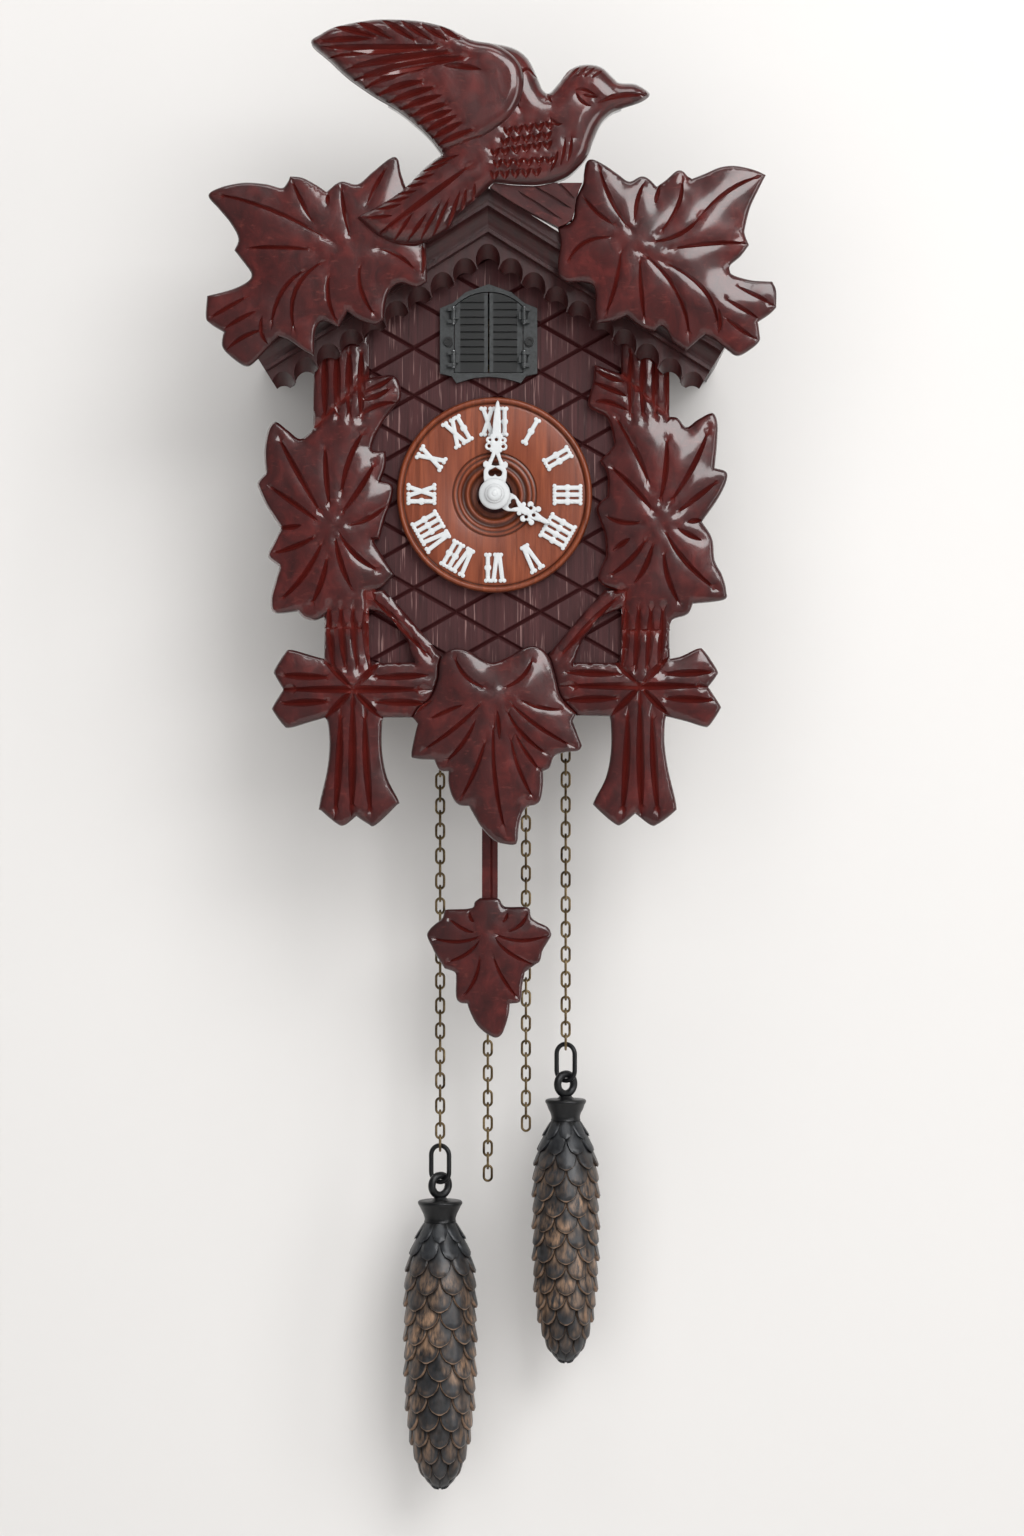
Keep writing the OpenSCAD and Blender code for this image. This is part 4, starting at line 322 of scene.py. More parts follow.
def door_moulding():
    """Grey moulding of the cuckoo's door, with painted shade in its slots and recesses and black rings and middles
    drawn on its rivets.
    """
    finish = Finish("door_grey_moulding", roughness=0.4)
    x, y, z = finish.axes()
    aside = finish.size(finish.minus(x, DOOR_X * MM))
    mottle = finish.noise(finish.place, 900.0, 3.0)
    base = finish.ramp(mottle, [(0.3, srgb(36, 38, 38)), (0.7, srgb(52, 54, 55))])
    from_mid = finish.size(finish.minus(aside, SLATS_MID))
    slot_shade = finish.times(finish.level(from_mid, SLATS_HALF - 0.0001, SLATS_HALF + 0.00005, 1.0, 0.0),
                         finish.level(y, SHUTTER_FACE - 0.0003, SHUTTER_FACE - 0.0001))
    # Painted shade in the slots beside the slats
    base = finish.mix(slot_shade, base, srgb(22, 23, 23))
    away = finish.distance(finish.minus(aside, RIVET_MID), finish.minus(z, RIVET_Z))
    ring = finish.times(finish.level(away, 0.0011, 0.0012), finish.level(away, 0.0016, 0.0017, 1.0, 0.0))
    spot = finish.level(away, 0.0005, 0.0006, 1.0, 0.0)
    # Painted shade, black, in the recesses behind the shutters' face
    deep = finish.level(y, SHUTTER_FACE + 0.0002, SHUTTER_FACE + 0.0006)
    finish.colour(finish.mix(finish.larger(finish.larger(ring, spot), deep), base, srgb(4, 4, 4)))
    return finish.material


finishes = {
    "case_wood": case_stain("case_stained_wood", srgb(52, 30, 24), srgb(86, 52, 40), 0.15),
    "panel_wood": panel_stain(),
    "roof_wood": case_stain("roof_stained_wood", srgb(30, 9, 9), srgb(58, 19, 19), 0.35),
    "carved_wood": carved_stain(),
    "dial_wood": dial_stain(),
    "white_plastic": plain("white_moulding", srgb(188, 190, 191), 0.36, speck=0.03),
    "grey_plastic": door_moulding(),
    "cuckoo_paint": plain("cuckoo_paint", srgb(150, 128, 100), 0.5, speck=0.25, size=220.0),
    "brass_plate": plain("brass_sheet", srgb(196, 164, 92), 0.3, metallic=1.0, speck=0.12, size=90.0),
    "wheel_brass": plain("brass_wheels", srgb(206, 172, 96), 0.24, metallic=1.0, speck=0.1, size=90.0),
    "steel": plain("zinc_steel", srgb(176, 178, 180), 0.32, metallic=1.0, speck=0.1),
    "block_iron": plain("painted_iron", srgb(70, 72, 74), 0.5, speck=0.15),
    "bellows_paper": plain("bellows_paper", srgb(198, 170, 128), 0.75, speck=0.15, size=120.0, depth=0.0002),
    "chain_brass": chain_brass(),
    "weight_iron": cone_iron(),
}
for part in frame["record"]["subparts"]:
    obj = nodes[part["node"]]
    obj.data.materials.clear()
    obj.data.materials.append(finishes[part["material_slot"]])
nodes["screws"].data.materials[0] = plain("blackened_screws", srgb(58, 58, 58), 0.4, metallic=0.8, speck=0.2)


# Carved work. Outlines are in millimetres from the middle of the dial; a third value marks a corner.
# A vein is (from, past, to).

ROOF_LEAF_LEFT = [
    (-110, 113.5), (-106, 116.5), (-97, 118.5), (-88, 118), (-82, 116.5), (-80, 118), (-78.5, 121, 1),
    (-74, 120.5), (-69, 118), (-64.5, 115, 1), (-61, 118), (-58, 119), (-52.5, 118), (-47, 122.5),
    (-40, 128), (-37, 127.5), (-35.5, 121), (-30, 106), (-26.5, 96), (-26, 87), (-26, 80.5, 1),
    (-30, 78.5), (-36, 80), (-40, 77.5), (-42, 72), (-42.5, 66, 1), (-46, 64), (-52, 66),
    (-56.5, 69, 1), (-60, 63, 1), (-64, 65), (-67, 65), (-69, 61), (-69.5, 52, 1), (-74, 54.5),
    (-79, 58), (-83, 59.5, 1), (-87, 55.5), (-92, 50), (-95.5, 48), (-100, 50.5), (-104.5, 55),
    (-104.5, 59.5), (-104, 61, 1), (-109.5, 64.5), (-111, 67), (-110.5, 75, 1), (-101, 77.5),
    (-95, 80.5), (-93.5, 83.5), (-96.5, 88), (-100, 92.5, 1), (-98.5, 97), (-101.5, 103), (-106, 108.5),
]
ROOF_LEAF_LEFT_VEINS = [
    ((-109, 114), (-88, 112), (-60, 94)), ((-96, 93), (-84, 94), (-68, 92)),
    ((-78, 120), (-74, 110), (-69, 102)), ((-59, 118), (-58, 107), (-55, 96)),
    ((-41, 125), (-46, 117), (-49, 109)), ((-64, 109), (-64, 112), (-64, 114)),
    ((-46, 93), (-36, 92), (-30, 84)), ((-51, 88), (-54, 77), (-45, 66)),
    ((-63, 84), (-66, 74), (-60, 64)), ((-63, 89), (-83, 80), (-76, 58)),
    ((-71, 85), (-84, 80), (-86, 61)), ((-110, 66), (-103, 70), (-94, 75)),
    ((-104, 62), (-98, 66), (-91, 69)), ((-103, 54), (-97, 60), (-88, 62)),
    ((-89, 67), (-91, 61), (-87, 56)), ((-28, 95), (-26, 89), (-28, 82)),
]
ROOF_LEAF_RIGHT = [
    (34.5, 122.5), (35.5, 126.5), (38, 127.5), (43, 125), (48, 121.5), (52, 119), (56.5, 121),
    (59.5, 120), (62.5, 117, 1), (66, 119.5), (70, 123), (72.5, 123), (74.5, 121), (76, 120, 1),
    (81, 122), (87, 124.5), (93, 125), (100, 123.5), (104.5, 121.5, 1), (102, 116.5), (98.5, 109),
    (96.5, 101), (96.5, 98.5), (98, 94.5, 1), (95, 90.5), (91, 87), (90.5, 85), (92, 83), (99, 81),
    (107, 80.5, 1), (108.5, 77), (108.5, 70.5, 1), (106, 68), (101.5, 65, 1), (102, 61), (102, 57.5),
    (98, 54), (93.5, 52), (89, 55), (84, 59), (81, 60, 1), (78.5, 58), (74, 54, 1), (69, 57.5),
    (66.5, 62), (64, 63.5), (61.5, 61.5, 1), (57, 63), (51, 67.5, 1), (46, 65.5), (39.5, 64.5, 1),
    (39, 70), (39, 76), (37.5, 79.5), (33, 80.5), (28, 80.5), (25, 83), (24.5, 88), (25.5, 95),
    (24.5, 101, 1), (30, 104), (31.5, 112), (34, 118),
]
ROOF_LEAF_RIGHT_VEINS = [
    ((40, 126), (43, 111), (53, 99)), ((34, 114), (38, 106), (48, 101)),
    ((58, 119), (54, 112), (54, 102)), ((72, 121), (74, 109), (62, 97)),
    ((64, 118), (62, 112), (62, 110)), ((103, 121), (90, 118), (78, 104)),
    ((80, 106), (73, 96), (59, 95)), ((98, 95), (85, 96), (66, 92)), ((46, 97), (32, 98), (28, 87)),
    ((49, 94), (48, 79), (42, 66)), ((56, 90), (56, 77), (58, 64)), ((55, 92), (75, 79), (75, 56)),
    ((63, 88), (86, 80), (86, 61)), ((92, 79), (101, 75), (108, 71)), ((88, 74), (95, 70), (102, 66)),
    ((88, 67), (94, 62), (101, 58)), ((86, 70), (88, 65), (86, 60)),
]
SIDE_LEAF_LEFT = [
    (-70.5, 26), (-76, 22), (-80.5, 25), (-85.5, 28.5), (-88.5, 25.5), (-90, 17), (-89.5, 8.5, 1),
    (-92.5, 5), (-92, 2), (-89, -4.5), (-83.5, -13, 1), (-86.5, -19), (-88.5, -24), (-84, -28, 1),
    (-86, -34.5), (-87.5, -41), (-86, -46), (-77, -45.5, 1), (-74.5, -48), (-70.5, -49),
    (-66.5, -47.5, 1), (-66.5, -52, 1), (-49, -52, 1), (-50, -38, 1), (-44.5, -36.5), (-39, -31, 1),
    (-43.5, -24), (-47, -18), (-45, -17.5, 1), (-42.5, -8.5), (-40, -1), (-40, 4), (-44.5, 5.5, 1),
    (-42.5, 11.5), (-42.5, 17, 1), (-47.5, 17.5), (-47, 21.5), (-43.5, 28.5), (-40, 33.5),
    (-36.5, 38.5), (-39, 46.5), (-50.5, 45.5, 1),
]
SIDE_LEAF_LEFT_VEINS = [
    ((-85, 24), (-78, 10), (-66, -10)), ((-89, 4), (-77, -4), (-68, -11)),
    ((-85, -13), (-79, -13), (-75, -12)), ((-87, -23), (-77, -21), (-69, -16)),
    ((-85, -42), (-73, -34), (-66, -16)), ((-72, -44), (-66, -34), (-65, -23)),
    ((-55, -38), (-61, -27), (-62, -16)), ((-44, -30), (-55, -26), (-61, -14)),
    ((-42, -4), (-49, -11), (-58, -12)), ((-46, 14), (-52, 1), (-61, -9)),
    ((-50, 26), (-58, 15), (-60, -2)), ((-66, 20), (-66, 7), (-64, -6)),
    ((-52, 40), (-44, 42), (-40, 46)), ((-53, 37), (-46, 37), (-40, 42)),
    ((-54, 29), (-48, 36), (-38, 36)),
]
SIDE_LEAF_RIGHT = [
    (68, 30.5, 1), (71.5, 30), (75, 26.5), (79.5, 29.5), (85, 32), (87, 28.5), (87, 21.5),
    (86, 10.5, 1), (90.5, 9), (90.5, 5), (87, -2), (81, -10.5, 1), (85, -17), (86, -25.5), (89, -31.5),
    (90.5, -37.5), (89.5, -41), (77.5, -42.5, 1), (75.5, -46.5), (70, -48.5), (68.5, -50.5, 1),
    (68.5, -53, 1), (49.5, -53, 1), (51.5, -37.5, 1), (46.5, -37), (42, -35), (40.5, -31.5),
    (43.5, -24, 1), (43, -15.5), (40, -7), (40.5, -3.5), (44, -0.5, 1), (44, 8), (41, 13.5, 1),
    (46, 18.5), (46.5, 21.5), (44, 30), (38, 33.5), (36.5, 36.5), (38.5, 44), (39, 51, 1), (50, 47, 1),
]
SIDE_LEAF_RIGHT_VEINS = [
    ((84, 27), (79, 10), (67, -5)), ((88, 6), (79, -1), (70, -8)), ((81, -10), (78, -10), (75, -11)),
    ((81, -18), (76, -16), (71, -13)), ((88, -38), (72, -27), (66, -13)),
    ((73, -44), (66, -33), (66, -21)), ((54, -35), (60, -29), (62, -18)),
    ((44, -32), (54, -27), (60, -16)), ((46, -22), (50, -19), (53, -17)),
    ((43, -8), (49, -12), (58, -11)), ((44, 12), (55, 3), (63, -8)), ((46, 32), (56, 18), (61, 2)),
    ((67, 24), (68, 8), (64, -4)), ((39, 49), (45, 45), (51, 44)), ((38, 44), (46, 41), (52, 38)),
    ((39, 36), (44, 38), (53, 32)),
]
CROSS_LEFT = [
    (-66.5, -60, 1), (-66.5, -64, 1), (-70.5, -63), (-79.5, -60.5), (-82, -62), (-86, -68.5),
    (-85.5, -71), (-82.5, -76, 1), (-86.5, -82.5), (-86.5, -84.5), (-82.5, -90), (-80, -91), (-73, -89),
    (-66, -87, 1), (-65, -90), (-64.5, -98), (-65.5, -108), (-68.5, -121.5), (-67.5, -123.5),
    (-61.5, -128.5), (-58.5, -129), (-54, -125.5, 1), (-49.5, -128.5), (-46.5, -129), (-38.5, -121.5),
    (-37.5, -119.5), (-42, -110.5), (-44, -100), (-44, -90), (-43.5, -87, 1), (-20, -87, 1),
    (-20, -65.5, 1), (-48.5, -65.5, 1), (-49, -60, 1),
]
CROSS_RIGHT = [
    (68.5, -60, 1), (68.5, -64, 1), (73, -63), (79.5, -60), (82, -61), (87, -68.5), (86.5, -71),
    (83.5, -75, 1), (88, -82), (88, -84), (84, -90), (81.5, -90.5), (75, -88.5), (67, -86.5, 1),
    (66.5, -90), (66.5, -98), (68, -108), (71, -121), (70, -124), (64, -128.5), (61, -129),
    (55, -124.5, 1), (50, -128.5), (47, -128.5), (39.5, -122), (39, -119.5), (43.5, -110.5),
    (45.5, -100), (45.5, -90), (45, -86.5, 1), (20, -86, 1), (20, -65.5, 1), (48.5, -65.5, 1),
    (49.5, -60, 1),
]
LOWER_LEAF = [
    (-21.5, -66), (-19.5, -62), (-15, -60), (-10, -61), (-4, -64.5), (0, -65.5), (6, -63), (11, -60),
    (15.5, -59), (19.5, -61), (22, -65), (24, -72), (26, -79), (32, -85.5, 1), (30.5, -88.5, 1),
    (33, -95), (34, -98), (32.5, -100), (28, -100.5), (23.5, -102), (21.5, -106.5), (19, -108, 1),
    (19, -113), (18, -119), (16, -121), (13, -121.5, 1), (11, -124), (9.5, -129.5), (9, -135),
    (8, -136.5), (5, -136.5), (0, -135), (-5, -130), (-7.5, -126), (-10, -121.5, 1), (-14, -121),
    (-16.5, -118), (-18, -112.5), (-18, -108, 1), (-21.5, -107.5), (-23.5, -103.5, 1), (-31, -103),
    (-32.5, -101.5), (-31.5, -95.5), (-30, -89.5, 1), (-32, -87, 1), (-29.5, -83), (-25, -79.5),
    (-22, -72),
]
LOWER_LEAF_VEINS = [
    ((-16, -62), (-13, -73), (-2, -76)), ((15, -63), (13, -73), (2, -76)),
    ((-30, -101), (-13, -91), (-4, -80)), ((-26, -88), (-18, -84), (-12, -82)),
    ((-20, -105), (-11, -98), (-7, -87)), ((-14, -120), (-6, -107), (-3, -94)),
    ((5, -134), (-2, -112), (0, -85)), ((2, -96), (2, -90), (1, -84)),
    ((16, -120), (8, -107), (6, -92)), ((18, -108), (12, -101), (8, -93)),
    ((22, -102), (9, -95), (4, -82)), ((32, -99), (15, -91), (5, -80)),
    ((27, -84), (17, -84), (10, -80)), ((-31, -86), (-28, -82), (-24, -80)),
    ((32, -86), (29, -82), (26, -79)),
]
BIRD = [
    (-70, 170.5), (-66, 174), (-61, 176.5), (-52, 178.5), (-43, 179.5), (-30, 179), (-20, 177),
    (-13, 174), (-8, 171.5), (0, 171), (8, 169), (13, 165), (16.5, 158), (18.5, 153.5), (21, 152),
    (24.5, 155.5), (29, 161), (35, 163), (41, 162), (45.5, 158), (48, 156), (54, 155.5), (58.5, 153),
    (59.5, 151), (56, 148.5), (50, 146.5), (45, 144.5), (41, 140.5), (38, 134), (36, 128.5),
    (32, 123.5), (27, 119.5), (18, 117), (8, 117), (0, 118, 1), (-7, 111.5), (-14, 105.5), (-18, 99.5),
    (-26, 95), (-36, 94.5), (-45, 98), (-52.5, 104.5, 1), (-44, 109), (-35, 115), (-26, 124),
    (-20, 128.5, 1), (-26, 136), (-36, 144.5), (-46, 150.5), (-56, 157.5), (-63, 164),
]
WING = [
    (-70, 170.5), (-66, 174), (-61, 176.5), (-52, 178.5), (-43, 179.5), (-30, 179), (-20, 177),
    (-13, 174), (-8, 171.5), (0, 170), (7, 166), (11, 160), (11, 151), (7, 143), (0, 137), (-9, 132),
    (-20, 129, 1), (-26, 136), (-36, 144.5), (-46, 150.5), (-56, 157.5), (-63, 164),
]
PENDULUM_LEAF = [
    (-6, -158.5, 1), (1, -158.5), (3, -161), (5, -162), (12, -162), (14, -163, 1), (14.5, -166),
    (17, -168), (21, -170), (22.5, -173), (21, -176), (19, -179.5), (18, -183.5), (16, -185, 1),
    (12, -188, 1), (11, -193), (10.5, -198), (9.5, -200), (6, -200.5, 1), (5.5, -205), (4, -210),
    (2.5, -213), (0, -214), (-4, -212), (-7.5, -208.5), (-10, -203.5), (-11, -200.5, 1), (-14, -200),
    (-15.5, -197.5), (-15.5, -190.5), (-16, -188), (-20, -186.5, 1), (-23.5, -181), (-25, -178),
    (-27, -173.5), (-26, -171), (-24, -169), (-21, -166.5), (-20, -163.5), (-18.5, -163, 1),
    (-9.5, -162.5), (-8, -160),
]
PENDULUM_LEAF_VEINS = [
    ((-19, -166), (-12, -172), (-8, -172)), ((-26, -174), (-13, -178), (-5, -173)),
    ((-20, -184), (-10, -182), (-6, -175)), ((-13, -198), (-6, -191), (-6, -181)),
    ((13, -164), (12, -170), (4, -172)), ((22, -173), (9, -178), (-1, -172)),
    ((16, -185), (4, -181), (0, -174)), ((10, -199), (2, -191), (-1, -180)),
    ((-10, -164), (-10, -167), (-8, -168)), ((5, -164), (5, -167), (3, -168)),
]
BRANCH = [
    (-10, 118, 1), (-2.5, 117, 1), (8, 110), (24.6, 101, 1), (30, 104), (31.5, 112), (33.8, 118, 1),
]
BRANCH_VEINS = [
    ((9, 115), (16, 109), (26, 104)), ((15, 117), (21, 112), (30, 108)),
    ((24, 118), (27, 114), (31, 112)),
]


# Meshes


def new_mesh(name, spots, faces):
    mesh = bpy.data.meshes.new(name)
    mesh.from_pydata(spots, [], faces)
    return mesh


def mark_points(mesh, name, values, kind="FLOAT"):
    """Values kept under a name on the points of a mesh."""
    layer = mesh.attributes.new(name, kind, "POINT")
    layer.data.foreach_set("vector" if kind == "FLOAT_VECTOR" else "value", np.array(values, np.float32).ravel())


def joined(name, meshes):
    """Several meshes as one."""
    made = bmesh.new()
    for mesh in meshes:
        made.from_mesh(mesh)
    mesh = bpy.data.meshes.new(name)
    made.to_mesh(mesh)
    made.free()
    return mesh


def rows_joined(rows, columns, around=True):
    """Faces between rows of points, each row a closed ring; around also joins the last row to the first."""
    faces = []
    for i in range(rows if around else rows - 1):
        j = (i + 1) % rows
        for k in range(columns):
            m = (k + 1) % columns
            faces.append((i * columns + k, j * columns + k, j * columns + m, i * columns + m))
    return faces


def curve(points, steps=5):
    """A closed curve through the points."""
    flat = [np.array(p[:2], float) for p in points]
    count, made = len(points), []
    for i in range(count):
        a, b, before, after = flat[i], flat[(i + 1) % count], flat[i - 1], flat[(i + 2) % count]
        leave = (b - a) * 0.8 if len(points[i]) > 2 else (b - before) / 2
        arrive = (b - a) * 0.8 if len(points[(i + 1) % count]) > 2 else (after - a) / 2
        for t in np.arange(steps) / steps:
            made.append(a * (2 * t**3 - 3 * t**2 + 1) + leave * (t**3 - 2 * t**2 + t)
                        + b * (3 * t**2 - 2 * t**3) + arrive * (t**3 - t**2))
    return np.array(made)


def ring_of(points):
    """A closed outline with straight sides."""
    return np.array(points, float)


def stroke(a, b, c, width, steps=9):
    """A gouge cut from a past b to c: points, and half the width of the cut at each."""
    t = np.linspace(0, 1, steps)[:, None]
    a, b, c = (np.array(p, float) for p in (a, b, c))
    return a * (1 - t) ** 2 + b * 2 * t * (1 - t) + c * t**2, width / 2 * np.sin(np.pi * t[:, 0]) ** 0.7


def gaps(points, starts, ends, widths=None):
    """How far each point is from the nearest straight piece, or how deep inside the widest cut."""
    along = ends - starts
    length = np.maximum((along**2).sum(1), 1e-12)
    found = []
    for first in range(0, len(points), 1500):
        part = points[first:first + 1500, None]
        t = np.clip(((part - starts) * along).sum(2) / length, 0, 1)
        gap = np.linalg.norm(part - starts - along * t[..., None], axis=2)
        if widths is None:
            found.append(gap.min(1))
        else:
            found.append((widths[:, 0] * (1 - t) + widths[:, 1] * t - gap).max(1))
    return np.concatenate(found)


def within(points, ring):
    """Which points lie inside a closed curve."""
    x, z = points[:, 0][:, None], points[:, 1][:, None]
    ax, az = ring[:, 0], ring[:, 1]
    bx, bz = np.roll(ax, -1), np.roll(az, -1)
    crosses = (az > z) != (bz > z)
    place = (bx - ax) * (z - az) / np.where(bz == az, 1e-9, bz - az) + ax
    return (crosses & (x < place)).sum(1) % 2 == 1


def triangles(points, edges):
    """A triangulation that keeps the edges."""
    made = geometry.delaunay_2d_cdt([Vector(p) for p in points], [tuple(e) for e in edges], [], 0, 1e-4)
    return np.array([tuple(p) for p in made[0]]), np.array([tuple(f) for f in made[2] if len(f) == 3])


def rim_of(faces):
    """The directed edges that only one triangle has."""
    pairs = np.concatenate([faces[:, [0, 1]], faces[:, [1, 2]], faces[:, [2, 0]]])
    keys = {tuple(p) for p in pairs.tolist()}
    return np.array([p for p in pairs.tolist() if (p[1], p[0]) not in keys])


def softened(values, faces, rounds):
    """Values on the points of a mesh, drawn towards their neighbours."""
    pairs = np.unique(np.sort(np.concatenate([faces[:, :2], faces[:, 1:], faces[:, ::2]]), axis=1), axis=0)
    a, b = pairs.T
    count = np.bincount(pairs.ravel(), minlength=len(values))
    for _ in range(rounds):
        total = np.bincount(a, values[b], len(values)) + np.bincount(b, values[a], len(values))
        values = (values + total / np.maximum(count, 1)) / 2
    return values


def closed_line(first, ring):
    return [(first + i, first + (i + 1) % len(ring)) for i in range(len(ring))]


# Rows of points inside an edge, as shares of the radius that rounds it
RIM_ROWS = (0.12, 0.32, 0.62, 1.0)
# In millimetres: room between a cut and the points spread over the board, how deep a cut is when it has
# grown quite dark, and how far in from an edge the painted shade reaches
CUT_ROOM = 0.45
CUT_SHADE = 0.7
EDGE_SHADE_REACH = 2.6


def rim_rows(starts, ends, radius):
    """Rows of points along the edges, where the wood rounds off."""
    inward = np.stack([-(ends - starts)[:, 1], (ends - starts)[:, 0]], axis=1)
    length = np.linalg.norm(inward, axis=1)
    inward /= np.maximum(length, 1e-9)[:, None]
    rows = []
    for share in RIM_ROWS:
        for t in (0.25, 0.75):
            place = starts + (ends - starts) * t + inward * radius * share
            place = place[length > 0.5]
            rows.append(place[gaps(place, starts, ends) > radius * share * 0.93])
    return rows


class Carving:
    """A flat board with a curved outline, carved from the front."""

    def __init__(self, rings, keep=None):
        self.rings = [np.array(r, float) for r in rings]
        self.keep = keep or (lambda p: np.any([within(p, r) for r in self.rings], axis=0))
        self.cuts = []

    def cut(self, a, b, c, width):
        """One gouge cut from a past b to c."""
        self.cuts.append(stroke(a, b, c, width))
        return self

    def veins(self, rows, width):
        for row in rows:
            self.cut(*row, width)
        return self

    def seam(self, ring, width):
        """A cut along the part of an outline that lies on another shape of the board."""
        others = [r for r in self.rings if r is not ring]
        mid = np.any([within(ring, r) for r in others], axis=0) if others else np.zeros(len(ring), bool)
        for i in range(len(ring)):
            j = (i + 1) % len(ring)
            if mid[i] and mid[j]:
                self.cuts.append((np.array([ring[i], ring[j]]), np.full(2, width / 2)))
        return self

    def kept(self, points, edges):
        """The points, and those triangles between the edges that belong to the board."""
        flat, faces = triangles(points, edges)
        return flat, faces[self.keep(flat[faces].mean(axis=1))]

    def cut_pieces(self):
        """The cuts as straight pieces: where each starts and ends, and half its width at both."""
        pieces = [(place[:-1], place[1:], np.stack([wide[:-1], wide[1:]], 1)) for place, wide in self.cuts]
        return [np.concatenate(part) for part in zip(*pieces)]

    def lay_cuts(self, points, edges):
        """Adds the lines that the mesh follows along each cut: its bottom and both its upper edges."""
        for place, wide in self.cuts:
            turn = np.gradient(place, axis=0)
            turn = np.stack([-turn[:, 1], turn[:, 0]], 1) / np.maximum(np.linalg.norm(turn, axis=1), 1e-9)[:, None]
            for side in (-1, 0, 1) if len(place) > 2 else (0,):
                line = place + turn * wide[:, None] * side
                if side:
                    line = line[1:-1]
                edges += [(len(points) + i, len(points) + i + 1) for i in range(len(line) - 1)]
                points += line.tolist()

    def spread(self, flat, starts, ends, radius, step):
        """Points over the rest of the board, clear of its edges and its cuts."""
        low, high = flat.min(0), flat.max(0)
        across, up = np.meshgrid(np.arange(low[0], high[0], step), np.arange(low[1], high[1], step * 0.87))
        across[::2] += step / 2
        grid = np.stack([across.ravel(), up.ravel()], 1)
        clear = gaps(grid, starts, ends) > radius * 0.9
        if self.cuts:
            clear &= gaps(grid, *self.cut_pieces()) < -CUT_ROOM
        return grid[clear & self.keep(grid)]

    def mesh(self, name, back, front, drop, radius, crown=0.35, reach=1.4, slope=1.5, step=1.5, dish=0.0,
             round_back=0.0, fall=16.0):
        """The closed mesh between the distances back and front from the wall.

        The edge drops by drop over radius. Beside a cut the wood falls by crown over reach, and the cut's
        walls have the given slope. dish domes the whole board over fall, round_back rounds its back, and
        step is the distance between the points of the mesh.
        """
        points, edges = [], []
        for ring in self.rings:
            edges += closed_line(len(points), ring)
            points += ring.tolist()
        flat, faces = self.kept(points, edges)
        rim = rim_of(faces)
        starts, ends = flat[rim[:, 0]], flat[rim[:, 1]]
        points, edges = flat.tolist(), rim.tolist()
        self.lay_cuts(points, edges)
        for more in rim_rows(starts, ends, radius) + [self.spread(flat, starts, ends, radius, step)]:
            points += more.tolist()
        flat, faces = self.kept(points, edges)
        used, faces = np.unique(faces, return_inverse=True)
        flat, faces = flat[used], faces.reshape(-1, 3)
        edge_gap = gaps(flat, starts, ends)
        rounded = 1 - np.sqrt(np.maximum(0, 1 - np.clip(1 - edge_gap / radius, 0, 1) ** 2))
        height = front - drop * rounded
        if dish:
            height -= dish * softened(np.clip(1 - edge_gap / fall, 0, 1) ** 1.5, faces, 30)
        dark = np.zeros(len(flat))
        if self.cuts:
            pieces = self.cut_pieces()
            into, near = gaps(flat, *pieces), np.minimum(gaps(flat, *pieces[:2]), edge_gap)
            dark = np.clip(into / CUT_SHADE, 0, 1)
            height -= slope * np.maximum(0, into) + crown * np.exp(-near / reach)
        height = np.maximum(height, back + 0.6)
        # Painted shade on the front, full at the edge and gone a few millimetres in
        wear_and_shade = np.clip(1 - edge_gap / EDGE_SHADE_REACH, 0, 1)
        depth = back + round_back * rounded if round_back else None
        return self.build(name, flat, faces, height, back, depth, dark, wear_and_shade)

    def build(self, name, flat, faces, height, back, depth, dark, wear_and_shade):
        """The carved front, a back that is flat or at the given depths, and the walls between, as one mesh."""
        count, rim = len(flat), rim_of(faces)
        front = [at_face(x, y, z) for (x, z), y in zip(flat, height)]
        if depth is not None:
            rear = [at_face(x, min(y, h - 0.3), z) for (x, z), y, h in zip(flat, depth, height)]
            rear_faces = (faces[:, ::-1] + count).tolist()
            spot = {i: i + count for i in range(count)}
        else:
            ids = np.unique(rim)
            local = {int(i): k for k, i in enumerate(ids)}
            lines = [(local[int(a)], local[int(b)]) for a, b in rim]
            made = geometry.delaunay_2d_cdt([Vector(flat[i]) for i in ids], lines, [], 0, 1e-5)
            rear_flat = np.array([tuple(p) for p in made[0]])
            flat_faces = np.array([tuple(f) for f in made[2] if len(f) == 3])
            flat_faces = flat_faces[self.keep(rear_flat[flat_faces].mean(axis=1))]
            rear = [at_face(x, back, z) for x, z in rear_flat]
            rear_faces = (flat_faces[:, ::-1] + count).tolist()
            came = {origin: k for k, origins in enumerate(made[3]) for origin in origins}
            spot = {int(i): count + came[k] for k, i in enumerate(ids)}
        walls = [(int(b), int(a), spot[int(a)], spot[int(b)]) for a, b in rim]
        mesh = new_mesh(name, front + rear, faces.tolist() + rear_faces + walls)
        mark_points(mesh, "cut", np.append(dark, np.zeros(len(rear))))
        # rim carries painted shade: full on the back and the walls, and on the front fading in from the edges
        mark_points(mesh, "rim", np.append(wear_and_shade, np.ones(len(rear))))
        mesh.validate()
        return mesh


def piece(mesh, finish, body, replaced=(), sharp=38):
    """A finished object with its mesh's name, which stands in for CAD nodes."""
    mesh.materials.clear()
    mesh.materials.append(finishes[finish])
    mesh.shade_smooth()
    mesh.set_sharp_from_angle(angle=math.radians(sharp))
    made = bpy.data.objects.new(mesh.name, mesh)
    bpy.context.scene.collection.objects.link(made)
    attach(made, body)
    if replaced:
        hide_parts(*replaced)


def carve_leaf(node, outline, veins, back, thick, body="case", width=1.9, dish=3.4):
    """A leaf on its own, its back at a distance from the wall."""
    carving = Carving([curve(outline)]).veins(veins, width)
    piece(carving.mesh(node + "_wood", back, back + thick, 0.9, 1.3, dish=dish), "carved_wood", body, [node])


